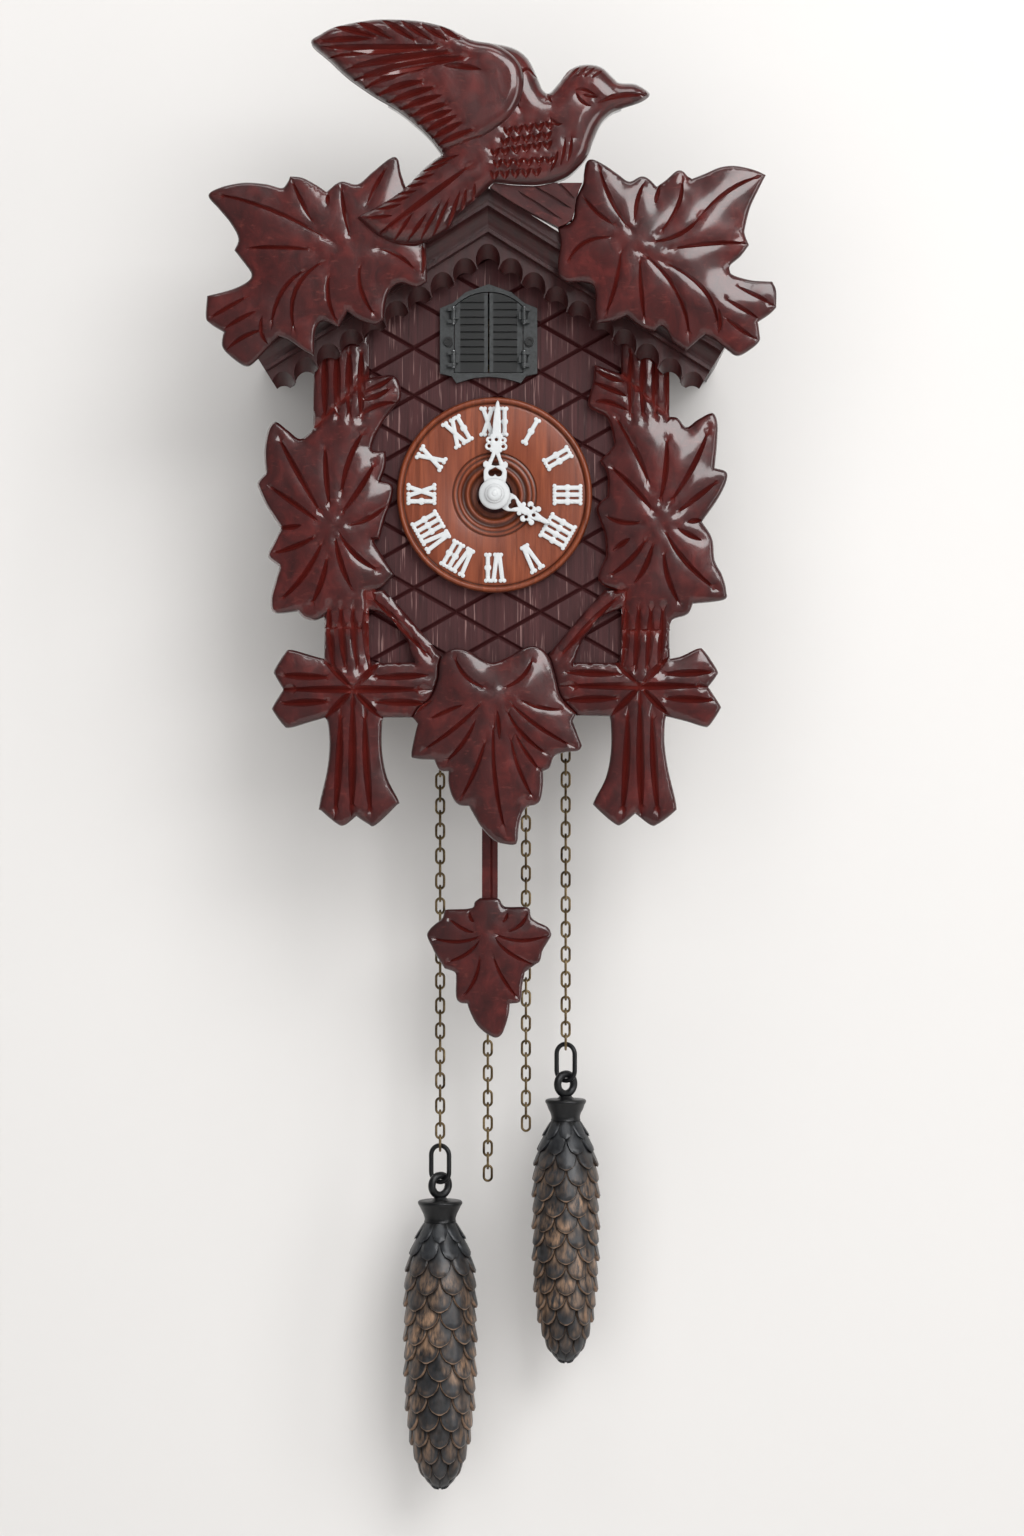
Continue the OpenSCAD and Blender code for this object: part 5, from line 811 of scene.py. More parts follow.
carve_leaf("roof_leaf_left", ROOF_LEAF_LEFT, ROOF_LEAF_LEFT_VEINS, ROOF_LEAF_BACK, 7)
carve_leaf("roof_leaf_right", ROOF_LEAF_RIGHT, ROOF_LEAF_RIGHT_VEINS, ROOF_LEAF_BACK, 7)
carve_leaf("lower_leaf", LOWER_LEAF, LOWER_LEAF_VEINS, PANEL_FACE, 10)
carve_leaf("pendulum_leaf", PENDULUM_LEAF, PENDULUM_LEAF_VEINS, 57, 4.6, "pendulum", width=1.7, dish=1.6)


# How far apart the reeds of a frame's post are, and how wide the cuts are that part them
REED_PITCH = 4.7
REED_CUT = 3.2


def carve_frame(side, word, leaf, leaf_veins, cross):
    """A post with reeds, the leaf across it, the crossed leaves below and the brace to the lower leaf."""
    out, near, top = (-66.5, -49, -70.8) if side < 0 else (68.3, 49.5, 68.3)
    post = ring_of([(out, -66), (near, -66), (near, 63), (top, 53), (top, 20), (out, 0)])
    brace = ring_of([(side * x, z) for x, z in (
        (56, -37.2), (43, -37.2), (34, -47), (21, -62.5), (20, -68), (30, -68), (34, -57.5), (40.5, -48), (56, -41.5))])
    leaf_ring, cross_ring, low_ring = curve(leaf), curve(cross), curve(LOWER_LEAF)
    rings = [post, leaf_ring, cross_ring, brace]

    def keep(p):
        return np.any([within(p, r) for r in rings], axis=0) & ~within(p, low_ring)

    carving = Carving(rings + [low_ring], keep).veins(leaf_veins, 2.4).seam(leaf_ring, 1.6)
    # Middle of the crossed leaves, and the line that the post's reeds stand on
    mid_x, mid_z = (-55.2, -76) if side < 0 else (56.8, -74.7)
    post_x = -57.5 if side < 0 else 58.8
    for k in (-1.5, -0.5, 0.5, 1.5):
        reed = post_x + REED_PITCH * k
        high = post_x + side * 1.5 + REED_PITCH * k
        carving.cut((high, 58), (high, 44), (high, 28), REED_CUT)
        carving.cut((reed, -42), (reed, -56), (mid_x + REED_PITCH * k, -70), REED_CUT)
        if abs(k) > 1:
            carving.cut((mid_x + 3.2 * k, -82), (mid_x + 3.2 * k, -105), (mid_x + 4.8 * k, -127), REED_CUT)
            for way, first, last in ((side, 8, 29), (-side, 7, 30)):
                carving.cut((mid_x + way * first, mid_z + 3.1 * k), (mid_x + way * 19, mid_z + 3.4 * k),
                            (mid_x + way * last, mid_z + 3.7 * k), REED_CUT)
    middle = (mid_x, mid_z)
    carving.cut(middle, (mid_x, -105), (mid_x + side * 0.5, -126), 3.4)
    carving.cut((mid_x + side * 29, mid_z), middle, (mid_x - side * 32, mid_z), 3.4)
    for dx in (-1, 1):
        for dz in (-1, 1):
            carving.cut(middle, (mid_x + dx * 5, mid_z + dz * 5.5), (mid_x + dx * 11.5, mid_z + dz * 11.5), 3.0)
    for k in (0, 1):
        carving.cut((side * (50 - 3 * k), -38.5 - 2.4 * k), (side * (37 - k), -49 - 3 * k),
                    (side * (25 - k), -64.5), 2.4)
    mesh = carving.mesh("frame_" + word + "_wood", PANEL_FACE, PANEL_FACE + 8, 1.0, 1.3, crown=0.5, dish=2.6, fall=13)
    piece(mesh, "carved_wood", "case", ["carved_frame_" + word])


carve_frame(-1, "left", SIDE_LEAF_LEFT, SIDE_LEAF_LEFT_VEINS, CROSS_LEFT)
carve_frame(1, "right", SIDE_LEAF_RIGHT, SIDE_LEAF_RIGHT_VEINS, CROSS_RIGHT)


# Each cut is (from, past, to, width)
WING_CUTS = [
    ((-62.0, 176.4), (-53.2, 174.9), (-43.8, 171.8), 3.0), ((-53.0, 178.1), (-46.5, 175.9), (-38.1, 170.8), 3.0),
    ((-43.1, 178.8), (-36.9, 175.9), (-28.9, 170.0), 3.0), ((-36.0, 178.6), (-30.7, 175.4), (-23.1, 170.4), 2.8),
    ((-28.5, 177.7), (-23.6, 174.4), (-17.3, 170.6), 2.6), ((-21.1, 176.7), (-17.8, 174.0), (-12.9, 171.1), 2.4),
    ((-15.9, 175.2), (-12.6, 173.5), (-8.1, 171.4), 2.0), ((-68.0, 170.4), (-57.0, 171.6), (-46.5, 171.4), 2.6),
    ((-66.6, 168.7), (-42.7, 166.8), (-16.9, 168.9), 3.4), ((-64.2, 164.4), (-45.5, 167.3), (-24.5, 167.0), 2.6),
    ((-57.0, 159.8), (-37.9, 164.9), (-13.0, 166.6), 3.6), ((-53.7, 155.8), (-34.1, 162.5), (-6.8, 164.7), 4.2),
    ((-19.7, 161.3), (-12.1, 161.3), (-4.6, 159.6), 2.6), ((-49.5, 152.7), (-37.9, 159.2), (-24.5, 160.3), 3.2),
    ((-45.5, 149.6), (-36.0, 154.4), (-25.7, 155.3), 3.0), ((-41.2, 146.9), (-31.2, 151.0), (-21.4, 153.2), 3.0),
    ((-36.9, 144.3), (-28.3, 147.7), (-19.5, 150.1), 3.0), ((-33.1, 141.7), (-25.0, 144.8), (-16.7, 147.1), 3.0),
    ((-29.8, 138.9), (-22.6, 142.0), (-15.7, 144.4), 3.0), ((-26.4, 136.2), (-20.2, 139.3), (-13.8, 142.5), 2.8),
    ((-24.0, 133.5), (-17.8, 136.7), (-11.6, 140.0), 2.8), ((-21.8, 131.0), (-15.0, 134.3), (-6.8, 137.4), 2.6),
    ((-19.7, 128.8), (-12.1, 131.0), (-4.0, 135.3), 2.4),
]
BIRD_CUTS = [
    ((-45.5, 96.6), (-26.4, 110.4), (-6.2, 125.9), 2.6), ((-49.2, 103.9), (-43.6, 103.7), (-38.7, 104.5), 1.7),
    ((-45.5, 107.1), (-40.8, 107.1), (-35.2, 109.0), 1.7), ((-42.2, 109.9), (-37.4, 109.9), (-32.0, 111.9), 1.7),
    ((-38.7, 112.8), (-34.1, 113.0), (-29.3, 114.1), 1.6), ((-35.2, 116.0), (-30.7, 115.7), (-25.9, 117.1), 1.6),
    ((-31.7, 118.5), (-27.4, 118.5), (-22.6, 120.7), 1.6), ((-28.3, 121.4), (-23.1, 122.4), (-16.9, 125.4), 1.8),
    ((-24.5, 124.0), (-19.3, 125.7), (-13.0, 127.8), 1.6), ((-38.7, 94.7), (-35.0, 99.9), (-31.0, 105.5), 1.8),
    ((-33.6, 94.7), (-29.3, 99.9), (-25.7, 105.5), 1.8), ((-28.5, 95.3), (-24.5, 101.8), (-20.2, 110.2), 1.8),
    ((-23.6, 96.6), (-20.7, 102.8), (-16.9, 111.9), 1.8), ((-18.3, 99.4), (-15.4, 106.6), (-13.0, 114.1), 1.8),
    ((-13.0, 103.7), (-11.6, 109.5), (-10.4, 115.7), 1.8), ((-8.3, 108.0), (-7.8, 112.3), (-7.3, 117.1), 1.7),
    ((-6.7, 155.3), (-3.0, 154.8), (0.9, 154.4), 1.8), ((-4.6, 153.9), (-4.0, 151.5), (-2.3, 149.4), 1.7),
    ((-0.8, 155.9), (1.3, 154.4), (2.4, 152.3), 1.7), ((-4.0, 149.0), (-0.6, 149.4), (2.4, 150.2), 1.7),
    ((-3.3, 146.3), (-2.3, 145.0), (-1.4, 144.6), 1.6), ((-0.1, 147.3), (2.2, 146.5), (4.3, 145.8), 1.6),
    ((4.0, 157.2), (6.5, 151.5), (10.3, 144.4), 1.5), ((6.3, 157.4), (8.2, 152.5), (10.3, 147.5), 1.4),
    ((4.0, 157.4), (6.6, 158.0), (9.5, 158.0), 1.3), ((10.3, 158.0), (11.8, 163.5), (16.4, 157.1), 1.6),
    ((30.1, 161.8), (28.5, 159.3), (25.7, 156.7), 1.6), ((33.0, 162.0), (30.9, 159.3), (29.0, 157.4), 1.6),
    ((35.9, 162.0), (33.8, 159.6), (31.5, 157.4), 1.6), ((38.7, 161.4), (36.6, 159.3), (34.3, 157.4), 1.6),
    ((41.2, 160.1), (39.5, 158.6), (37.1, 157.1), 1.4), ((30.9, 152.3), (34.2, 153.9), (39.7, 149.8), 1.5),
    ((31.1, 151.9), (32.8, 147.2), (37.4, 146.2), 1.6), ((33.8, 150.6), (36.6, 150.1), (39.7, 149.6), 1.5),
    ((38.9, 147.1), (47.1, 152.0), (58.8, 150.6), 2.3), ((21.3, 142.4), (22.8, 138.6), (26.3, 139.5), 1.7),
    ((27.1, 134.3), (27.3, 128.6), (25.2, 123.3), 1.5), ((29.6, 135.3), (29.9, 129.5), (28.0, 124.8), 1.5),
    ((24.4, 129.5), (23.7, 124.8), (21.3, 121.1), 1.5), ((19.9, 154.4), (20.4, 149.6), (22.1, 147.5), 1.4),
]
# Rows of chips on the breast: the first chip's place, how many, and the rise from one to the next
CHIP_ROWS = [
    ((5.297, 138.13), 5, 0.574), ((4.151, 134.12), 5, 0.573), ((0.329, 129.914), 6, 0.573),
    ((1.284, 125.71), 6, 0.229), ((0.138, 121.698), 5, 0.229),
]


def carve_bird():
    """The bird on the ridge: a rounded body, a wing laid on it and the part astride the roof."""
    ring = curve(BIRD)
    body, wing = Carving([ring]), Carving([curve(WING)])
    for cut in BIRD_CUTS:
        body.cut(*cut)
    for (x, z), count, rise in CHIP_ROWS:
        for k in range(count):
            spot = (x + 4.013 * k, z + rise * k)
            for chip in (((-1.911, 0), (-0.573, -0.955), (0, -3.44)), ((1.911, 0.382), (0.573, -0.764), (0, -3.44))):
                body.cut(*np.round(np.add(spot, chip), 1), 1.9)
    for cut in WING_CUTS:
        wing.cut(*cut)
    # A board's back and front, how far its edge drops, and over what radius
    piece(body.mesh("bird_body_wood", 114.8, 120.8, 5.2, 8, step=1.4), "carved_wood", "case", ["carved_bird"])
    piece(wing.mesh("bird_wing_wood", 118.5, 123.8, 3.6, 5, step=1.3), "carved_wood", "case")
    # The part astride the roof keeps clear of the roof's leaves and twig
    leaves = [curve(ROOF_LEAF_LEFT), curve(ROOF_LEAF_RIGHT), curve(BRANCH)]
    saddle = ring_of([(-34, 116), (-2.5, 118.3), (40, 93.5), (50, 140), (40, 190), (-50, 190)])

    def keep(p):
        return within(p, ring) & within(p, saddle) & ~np.any([within(p, r) for r in leaves], axis=0)

    rear = Carving([ring, saddle] + leaves, keep)
    piece(rear.mesh("bird_rear_wood", 103.8, 115.4, 0.4, 7, round_back=6.0, step=2.4), "carved_wood", "case")


carve_bird()


# Dial, numerals and hands


def face_turned(name, profile, sides):
    """A closed ring turned about the hands' arbor; the profile is (radius, distance from the wall, painted shade)."""
    spots = []
    for k in range(sides):
        a = 2 * math.pi * k / sides
        spots += [at_face(r * math.sin(a), y, r * math.cos(a)) for r, y, *_ in profile]
    mesh = new_mesh(name, spots, rows_joined(sides, len(profile)))
    # The painted shade of each point of the profile, kept under the name cut
    mark_points(mesh, "cut", [sum(deep) for _, _, *deep in profile] * sides)
    return mesh


# The dial's profile; its third values are painted shade in the grooves, the inner bowl and round the back
DIAL = [
    (7, 86.7, 0.9), (8.3, 86.7, 0.7), (8.9, 86.9, 1), (9.4, 87.1, 1), (9.9, 87.6, 0.4), (10.4, 87.9), (10.8, 87.9),
    (11.2, 87.6, 0.5), (11.6, 87.2, 1), (12.2, 87.1, 1), (12.7, 87.3, 0.9), (13.1, 87.8, 0.3), (13.6, 88.1), (14, 88.0),
    (14.4, 87.7, 0.9), (14.7, 87.7, 0.9), (15.1, 88.1, 0.1), (15.6, 88.2), (16, 87.9, 0.8), (16.3, 87.9, 1),
    (16.6, 88.5, 0.3), (17, 88.6), (25, 88.6), (34.6, 88.6), (35.2, 88.5, 0.2), (35.5, 88.25, 1), (35.8, 88.4, 0.8),
    (36.1, 89.2, 0.1), (36.5, 89.7), (37, 89.85), (37.5, 89.6), (37.9, 89.0, 0.2), (38.15, 88, 0.6), (38.15, 85.4, 0.8),
    (37.4, 84.2, 0.8), (7, 84.2, 0.8),
]
piece(face_turned("dial_turned", DIAL, 128), "dial_wood", "case", ["dial"], 50)
CAP = [
    (1.2, 93.4), (6.05, 93.4), (6.1, 93.8), (5.9, 94.2), (5.3, 94.55), (4.0, 95.05), (3.8, 95.2), (3.7, 95.7),
    (3.5, 95.95), (3.15, 96.05), (3.0, 96.15), (2.9, 96.5), (2.65, 96.8), (1.9, 97.15), (1.3, 97.3),
    (1.2, 97.25), (1.1, 97.35), (0.4, 97.45), (0.02, 97.45), (0.02, 93.6), (1.1, 93.5),
]
piece(face_turned("cap_turned", CAP, 64), "white_plastic", "minute", ["hand_cap"], 50)


def round_spot(x, z, r, sides=14):
    """A small circle as a ring of points."""
    a = 2 * np.pi * np.arange(sides) / sides
    return np.stack([x + r * np.cos(a), z + r * np.sin(a)], 1)


def flat_bar(a, b, first, last):
    """A straight stroke between two places, with half its width at each end."""
    a, b = ring_of([a, b])
    side = np.array([a[1] - b[1], b[0] - a[0]]) / np.linalg.norm(b - a)
    return np.array([a - side * first, b - side * last, b + side * last, a + side * first])


def numeral_stroke(foot, head, ends=(0, 1), bead=True, tall=11.8):
    """A stroke of a numeral with round serifs and a bead half way up."""
    rings = [flat_bar((foot, 0.7), (head, tall - 0.7), 0.85, 0.85)]
    for end in ends:
        x, z = (head, tall - 0.85) if end else (foot, 0.85)
        rings += [round_spot(x - 0.68, z, 0.82), round_spot(x + 0.68, z, 0.82)]
    if bead:
        rings.append(round_spot((foot + head) / 2, tall / 2, 1.36, 18))
    return rings


def crossed(mid, foot, head):
    """The two slanting strokes of a V or an X."""
    return [ring for side in (-1, 1)
            for ring in numeral_stroke(mid + side * foot, mid + side * head, bead=False)]


def numeral(letters):
    """Rings of a Roman numeral made of I, V and X, its middle at x = 0."""
    widths = {"I": 2.7, "V": 5.2, "X": 5.2}
    x = -sum(widths[c] for c in letters) / 2
    rings = []
    for c in letters:
        mid = x + widths[c] / 2
        rings += {"I": numeral_stroke(mid, mid), "V": crossed(mid, 0.5, 1.75), "X": crossed(mid, 1.75, -1.75)}[c]
        x += widths[c]
    return rings


def cut_out(name, rings, holes, back, front, step=0.5):
    """A thin moulded plate with slightly rounded edges: everything inside the rings and outside the holes."""
    def keep(p):
        return np.any([within(p, r) for r in rings], axis=0) & ~np.any([within(p, h) for h in holes], axis=0)
    return Carving(rings + holes, keep if holes else None).mesh(name, back, front, 0.28, 0.4, step=step)


def turned_rings(rings, degrees, out=0.0):
    """Rings moved outwards and then turned clockwise about the middle of the dial."""
    a = math.radians(degrees)
    turn = np.array([[math.cos(a), -math.sin(a)], [math.sin(a), math.cos(a)]])
    return [(np.array(r) + (0, out)) @ turn for r in rings]


def both_sides(rings):
    return [ring_of([(side * x, z) for x, z in ring]) for ring in rings for side in (-1, 1)]


HOURS = ("I", "II", "III", "IIII", "V", "VI", "VII", "VIII", "IX", "X", "XI", "XII")
NUMERAL_FOOT = 22.6
MINUTE = both_sides([
    round_spot(2.9, 18.5, 1.5), round_spot(2.8, 21, 1.3), round_spot(1.5, 22.4, 1), round_spot(1.5, 17.2, 1),
]) + [
    ring_of([(-4, 4), (-4.5, 6.5), (-4.5, 9), (-4, 10), (-4.8, 10.8), (-4.8, 12), (-3.9, 12.9), (-3, 12.5),
             (-2.2, 14), (-1.3, 16.8), (1.3, 16.8), (2.2, 14), (3, 12.5), (3.9, 12.9), (4.8, 12), (4.8, 10.8),
             (4, 10), (4.5, 9), (4.5, 6.5), (4, 4)]),
    ring_of([(-1.7, 16.5), (-2.2, 20), (-1.7, 23), (-1.75, 24.5), (-1.2, 32), (-0.55, 35.8), (0, 36.5),
             (0.55, 35.8), (1.2, 32), (1.75, 24.5), (1.7, 23), (2.2, 20), (1.7, 16.5)]),
    round_spot(0, 0, 5.2, 30),
]
MINUTE_HOLES = both_sides([
    round_spot(1.35, 8.2, 1.4), round_spot(2.75, 18.6, 0.72, 10), round_spot(2.5, 21, 0.5, 8),
]) + [
    ring_of([(-2.4, 9.1), (0, 10.5), (2.4, 9.1), (0, 7.6)]),
    ring_of([(-1.6, 11.2), (-1.2, 12.6), (0, 15.6), (1.2, 12.6), (1.6, 11.2), (0, 10.9)]),
    round_spot(0, 21.2, 0.7, 10),
]
HOUR = both_sides([
    round_spot(3.1, 14.3, 1.25), round_spot(2.9, 17.8, 1.15), round_spot(1.9, 11.9, 0.9), round_spot(1.9, 16, 1.3),
]) + [
    ring_of([(-3.1, 3.5), (-3.5, 6), (-3.4, 7.6), (-2.4, 9.6), (-1.5, 11.6), (-1.6, 18.4), (-1.1, 20.5),
             (-0.9, 23), (0, 24.4), (0.9, 23), (1.1, 20.5), (1.6, 18.4), (1.5, 11.6), (2.4, 9.6), (3.4, 7.6),
             (3.5, 6), (3.1, 3.5)]),
    round_spot(0, 0, 5, 30),
]
HOUR_HOLES = both_sides([round_spot(1, 7.8, 1.05, 10), round_spot(1.95, 15, 0.75, 10)]) + [
    ring_of([(-1.8, 8.2), (0, 10.4), (1.8, 8.2), (0, 7)]), round_spot(0, 17.3, 0.75, 10),
]
marks = [cut_out("mark", turned_rings(numeral(letters), 30 * (k + 1), NUMERAL_FOOT), [], 88.6, 89.6)
         for k, letters in enumerate(HOURS)]
piece(joined("numerals_moulded", marks), "white_plastic", "case", ["numerals"])


def hang_hand(body, shape, holes, degrees, back):
    """A pierced hand on its arbor, turned to the time shown."""
    node = body + "_hand"
    rings, gone = turned_rings(shape, degrees), turned_rings(holes + [round_spot(0, 0, 2.6, 24)], degrees)
    piece(cut_out(node + "_moulded", rings, gone, back, back + 1.2), "white_plastic", body, [node])


hang_hand("minute", MINUTE, MINUTE_HOLES, MINUTE_ANGLE, 92.1)
hang_hand("hour", HOUR, HOUR_HOLES, HOUR_ANGLE, 90.2)


# Weights: an iron core with overlapping scales laid on it by geometry nodes


# Where a scale's points lie, across from edge to edge and down from root to tip
SCALE_ACROSS = (-1, -0.87, -0.48, 0, 0.48, 0.87, 1)
SCALE_DOWN = (0, 0.3, 0.5, 0.66, 0.8, 0.91, 1)
# In millimetres: how high a scale's tip stands over its root, how deep its root and the core lie under the
# cone's outline
SCALE_RISE = 2.75
ROOT_DEPTH = 2.45
CORE_DEPTH = 2.3


def scale_mesh():
    """One scale laid flat: x across over one unit, z down over one unit, its face towards -Y."""
    spots, faces, across, down = [], [], [], []
    for b in SCALE_DOWN:
        half = 0.5 * math.sqrt(1 - (max(0.0, b - 0.5) / SCALE_ROUND) ** 2)
        for a in SCALE_ACROSS:
            height = SCALE_RISE * b + 0.35 * (1 - a * a) - (0.6 if b == 1 or abs(a) == 1 else 0.0)
            spots.append((half * a, -height, -b + (0.012 if b == 1 and abs(a) > 0.9 else 0.0)))
            across.append(2 * half * abs(a))
            down.append(b)
    wide, tall = len(SCALE_ACROSS), len(SCALE_DOWN)
    for i in range(tall - 1):
        for j in range(wide - 1):
            k = i * wide + j
            faces.append((k, k + wide, k + wide + 1, k + 1))
    rim = (list(range(wide)) + [i * wide + wide - 1 for i in range(1, tall)]
           + [(tall - 1) * wide + j for j in range(wide - 2, -1, -1)] + [i * wide for i in range(tall - 2, 0, -1)])
    first = len(spots)
    for k in rim:
        x, y, z = spots[k]
        spots.append((x * 0.97, 0.6, z * 0.985))
        across.append(across[k])
        down.append(down[k])
    count = len(rim)
    for i in range(count):
        j = (i + 1) % count
        faces.append((rim[i], rim[j], first + j, first + i))
    faces.append(tuple(range(first, first + count)))
    mesh = new_mesh("cone_scale", spots, faces)
    mark_points(mesh, "across", across)
    mark_points(mesh, "down", down)
    return mesh


def on_points_tree(name):
    """Geometry nodes that put one shape on points, each with its own turn and size."""
    tree = bpy.data.node_groups.new(name, "GeometryNodeTree")
    for key, way, kind in (("Points", "INPUT", "Geometry"), ("Shape", "INPUT", "Object"), ("Size", "INPUT", "Float"),
                           ("Finish", "INPUT", "Material"), ("Geometry", "OUTPUT", "Geometry")):
        tree.interface.new_socket(key, in_out=way, socket_type="NodeSocket" + kind)
    given, result, info, laid, turn, size, grown, euler, real, paint = (tree.nodes.new(kind) for kind in (
        "NodeGroupInput", "NodeGroupOutput", "GeometryNodeObjectInfo", "GeometryNodeInstanceOnPoints",
        "GeometryNodeInputNamedAttribute", "GeometryNodeInputNamedAttribute", "ShaderNodeVectorMath",
        "FunctionNodeEulerToRotation", "GeometryNodeRealizeInstances", "GeometryNodeSetMaterial"))
    turn.data_type = size.data_type = "FLOAT_VECTOR"
    turn.inputs["Name"].default_value = "turn"
    size.inputs["Name"].default_value = "size"
    grown.operation = "SCALE"
    for source, out, target, entry in (
            (given, "Points", laid, "Points"), (given, "Shape", info, "Object"),
            (info, "Geometry", laid, "Instance"), (turn, "Attribute", euler, "Euler"),
            (euler, "Rotation", laid, "Rotation"), (size, "Attribute", grown, 0), (given, "Size", grown, "Scale"),
            (grown, "Vector", laid, "Scale"), (laid, "Instances", real, "Geometry"),
            (real, "Geometry", paint, "Geometry"), (given, "Finish", paint, "Material"),
            (paint, "Geometry", result, "Geometry")):
        tree.links.new(source.outputs[out], target.inputs[entry])
    return tree


place_tree = on_points_tree("lay_on_points")


def laid_on(name, shape, places, finish, size=1.0):
    """A mesh of one shape laid on places, each given as (spot, turn, size), in metres and radians."""
    spots, turns, sizes = zip(*places)
    points = new_mesh(name + "_points", spots, [])
    mark_points(points, "turn", turns, "FLOAT_VECTOR")
    mark_points(points, "size", sizes, "FLOAT_VECTOR")
    seed, holder = bpy.data.objects.new(name + "_seed", points), bpy.data.objects.new(name + "_shape", shape)
    for obj in (seed, holder):
        bpy.context.scene.collection.objects.link(obj)
    modifier = seed.modifiers.new("lay", "NODES")
    modifier.node_group = place_tree
    given = {"Shape": holder, "Size": size, "Finish": finishes[finish]}
    for item in place_tree.interface.items_tree:
        if item.name in given:
            modifier[item.identifier] = given[item.name]
    bpy.context.view_layer.update()
    mesh = bpy.data.meshes.new_from_object(seed.evaluated_get(bpy.context.evaluated_depsgraph_get()))
    mesh.name = name
    for obj in (seed, holder):
        bpy.data.objects.remove(obj, do_unlink=True)
    return mesh


def lathe(profile, sides, place):
    """A closed shape turned about an upright line; the profile is (radius, z) from the top down."""
    spots = []
    for r, z in profile:
        for k in range(sides):
            a = 2 * math.pi * k / sides
            spots.append((place[0] + r * MM * math.cos(a), place[1] + r * MM * math.sin(a), place[2] + z * MM))
    last = (len(profile) - 1) * sides
    caps = [tuple(range(sides)), tuple(range(last + sides - 1, last - 1, -1))]
    return new_mesh("turned", spots, rows_joined(len(profile), sides, False) + caps)


# Height of the plain collar above a cone's first scales
COLLAR_H = 8.4
# Shares of a cone's greatest radius, at its neck and at the rim of its collar, and the share of its length
# at which it is widest
NECK = 0.41
COLLAR_RIM = 0.61
WIDEST = 0.26


def cone_shape(t):
    """The cone's radius as a share of its widest, t from 0 at the collar to 1 at the tip."""
    if t < WIDEST:
        return NECK + (1 - NECK) * math.sin(math.pi / 2 * (t / WIDEST) ** 0.8)
    return math.sqrt(max(0.012, 1 - ((t - WIDEST) / (1 - WIDEST)) ** 4.2))


def cone_weight(side, x, top, length, radius, rows=16, around=8):
    """An iron core and rows of scales, laid out flat by geometry nodes and then wrapped on to the core."""
    middle = at_face(x, CHAIN_Y, -top)
    # Shares of the length, close together towards the tip; then the outline, and the way along it
    ts = 1 - np.linspace(1, 0, 160) ** 1.5
    out = np.array([radius * cone_shape(t) for t in ts])
    down = COLLAR_H + ts * (length - COLLAR_H - 0.6)
    run = np.concatenate([[0], np.cumsum(np.hypot(np.diff(out), np.diff(down)))])
    lean_out, lean_down = np.gradient(down, run), -np.gradient(out, run)
    sunk = np.clip(np.minimum(run / 11 + 0.15, (run[-1] - run) / 9 + 0.2), 0, 1)
    core = lathe([(max(0.3, r - CORE_DEPTH * f), -z) for r, z, f in zip(out, down, sunk)][::3] + [(0.3, 0.4 - length)],
                 40, middle)
    places = []
    pitch = run[-1] / (rows + 0.35)
    for row in range(rows):
        for k in range(around):
            a = 2 * math.pi * (k + 0.5 * (row % 2)) / around
            odd = math.sin(row * 12.9 + k * 78.2)
            wide, tall = 2 * math.pi / around * (1 + 0.015 * odd), pitch * (2.04 + 0.05 * odd)
            places.append(((a, 0, -(row - 0.75) * pitch), (0, 0, 0), (wide, 1 + 0.05 * odd, tall)))
    shape = laid_on("scales_" + side, scale_mesh(), places, "weight_iron")
    flat = np.empty(len(shape.vertices) * 3, np.float32)
    shape.vertices.foreach_get("co", flat)
    flat = flat.reshape(-1, 3).astype(float)
    along = np.clip(-flat[:, 2], 0, run[-1])
    height = (-flat[:, 1] - ROOT_DEPTH) * np.interp(along, run, sunk)
    r = np.maximum(0.2, np.interp(along, run, out) + height * np.interp(along, run, lean_out))
    z = np.interp(along, run, down) - height * np.interp(along, run, lean_down)
    bent = np.stack([middle[0] + r * MM * np.sin(flat[:, 0]), middle[1] - r * MM * np.cos(flat[:, 0]),
                     middle[2] - z * MM], 1)
    shape.vertices.foreach_set("co", bent.astype(np.float32).ravel())
    share = along / run[-1]
    mark_points(shape, "rubbed", np.clip((share - 0.12) / 0.2, 0, 1) * np.clip((0.97 - share) / 0.22, 0, 1))
    return joined("cone_" + side, [core, shape])


def tube(path, radius, sides):
    """A round wire bent along a closed path, given in metres."""
    path = np.array(path)
    count = len(path)
    normal = np.cross(path[1] - path[0], path[count // 3] - path[0])
    normal /= np.linalg.norm(normal)
    spots = []
    for i in range(count):
        along = path[(i + 1) % count] - path[i - 1]
        side = np.cross(along / np.linalg.norm(along), normal)
        for k in range(sides):
            a = 2 * math.pi * k / sides
            spots.append(tuple(path[i] + radius * (side * math.cos(a) + normal * math.sin(a))))
    return new_mesh("tube", spots, [(a, d, c, b) for a, b, c, d in rows_joined(count, sides)])


def stadium(middle, length, width, turn, steps):
    """A closed path of two half rings and two straights, upright, turned about the vertical."""
    r = width / 2
    straight = length / 2 - r
    points = []
    for end in (1, -1):
        for k in range(steps + 1):
            a = math.pi * k / steps
            x, z = end * r * math.cos(a) * MM, end * (straight + r * math.sin(a)) * MM
            points.append((middle[0] + x * math.cos(turn), middle[1] + x * math.sin(turn), middle[2] + z))
    return points


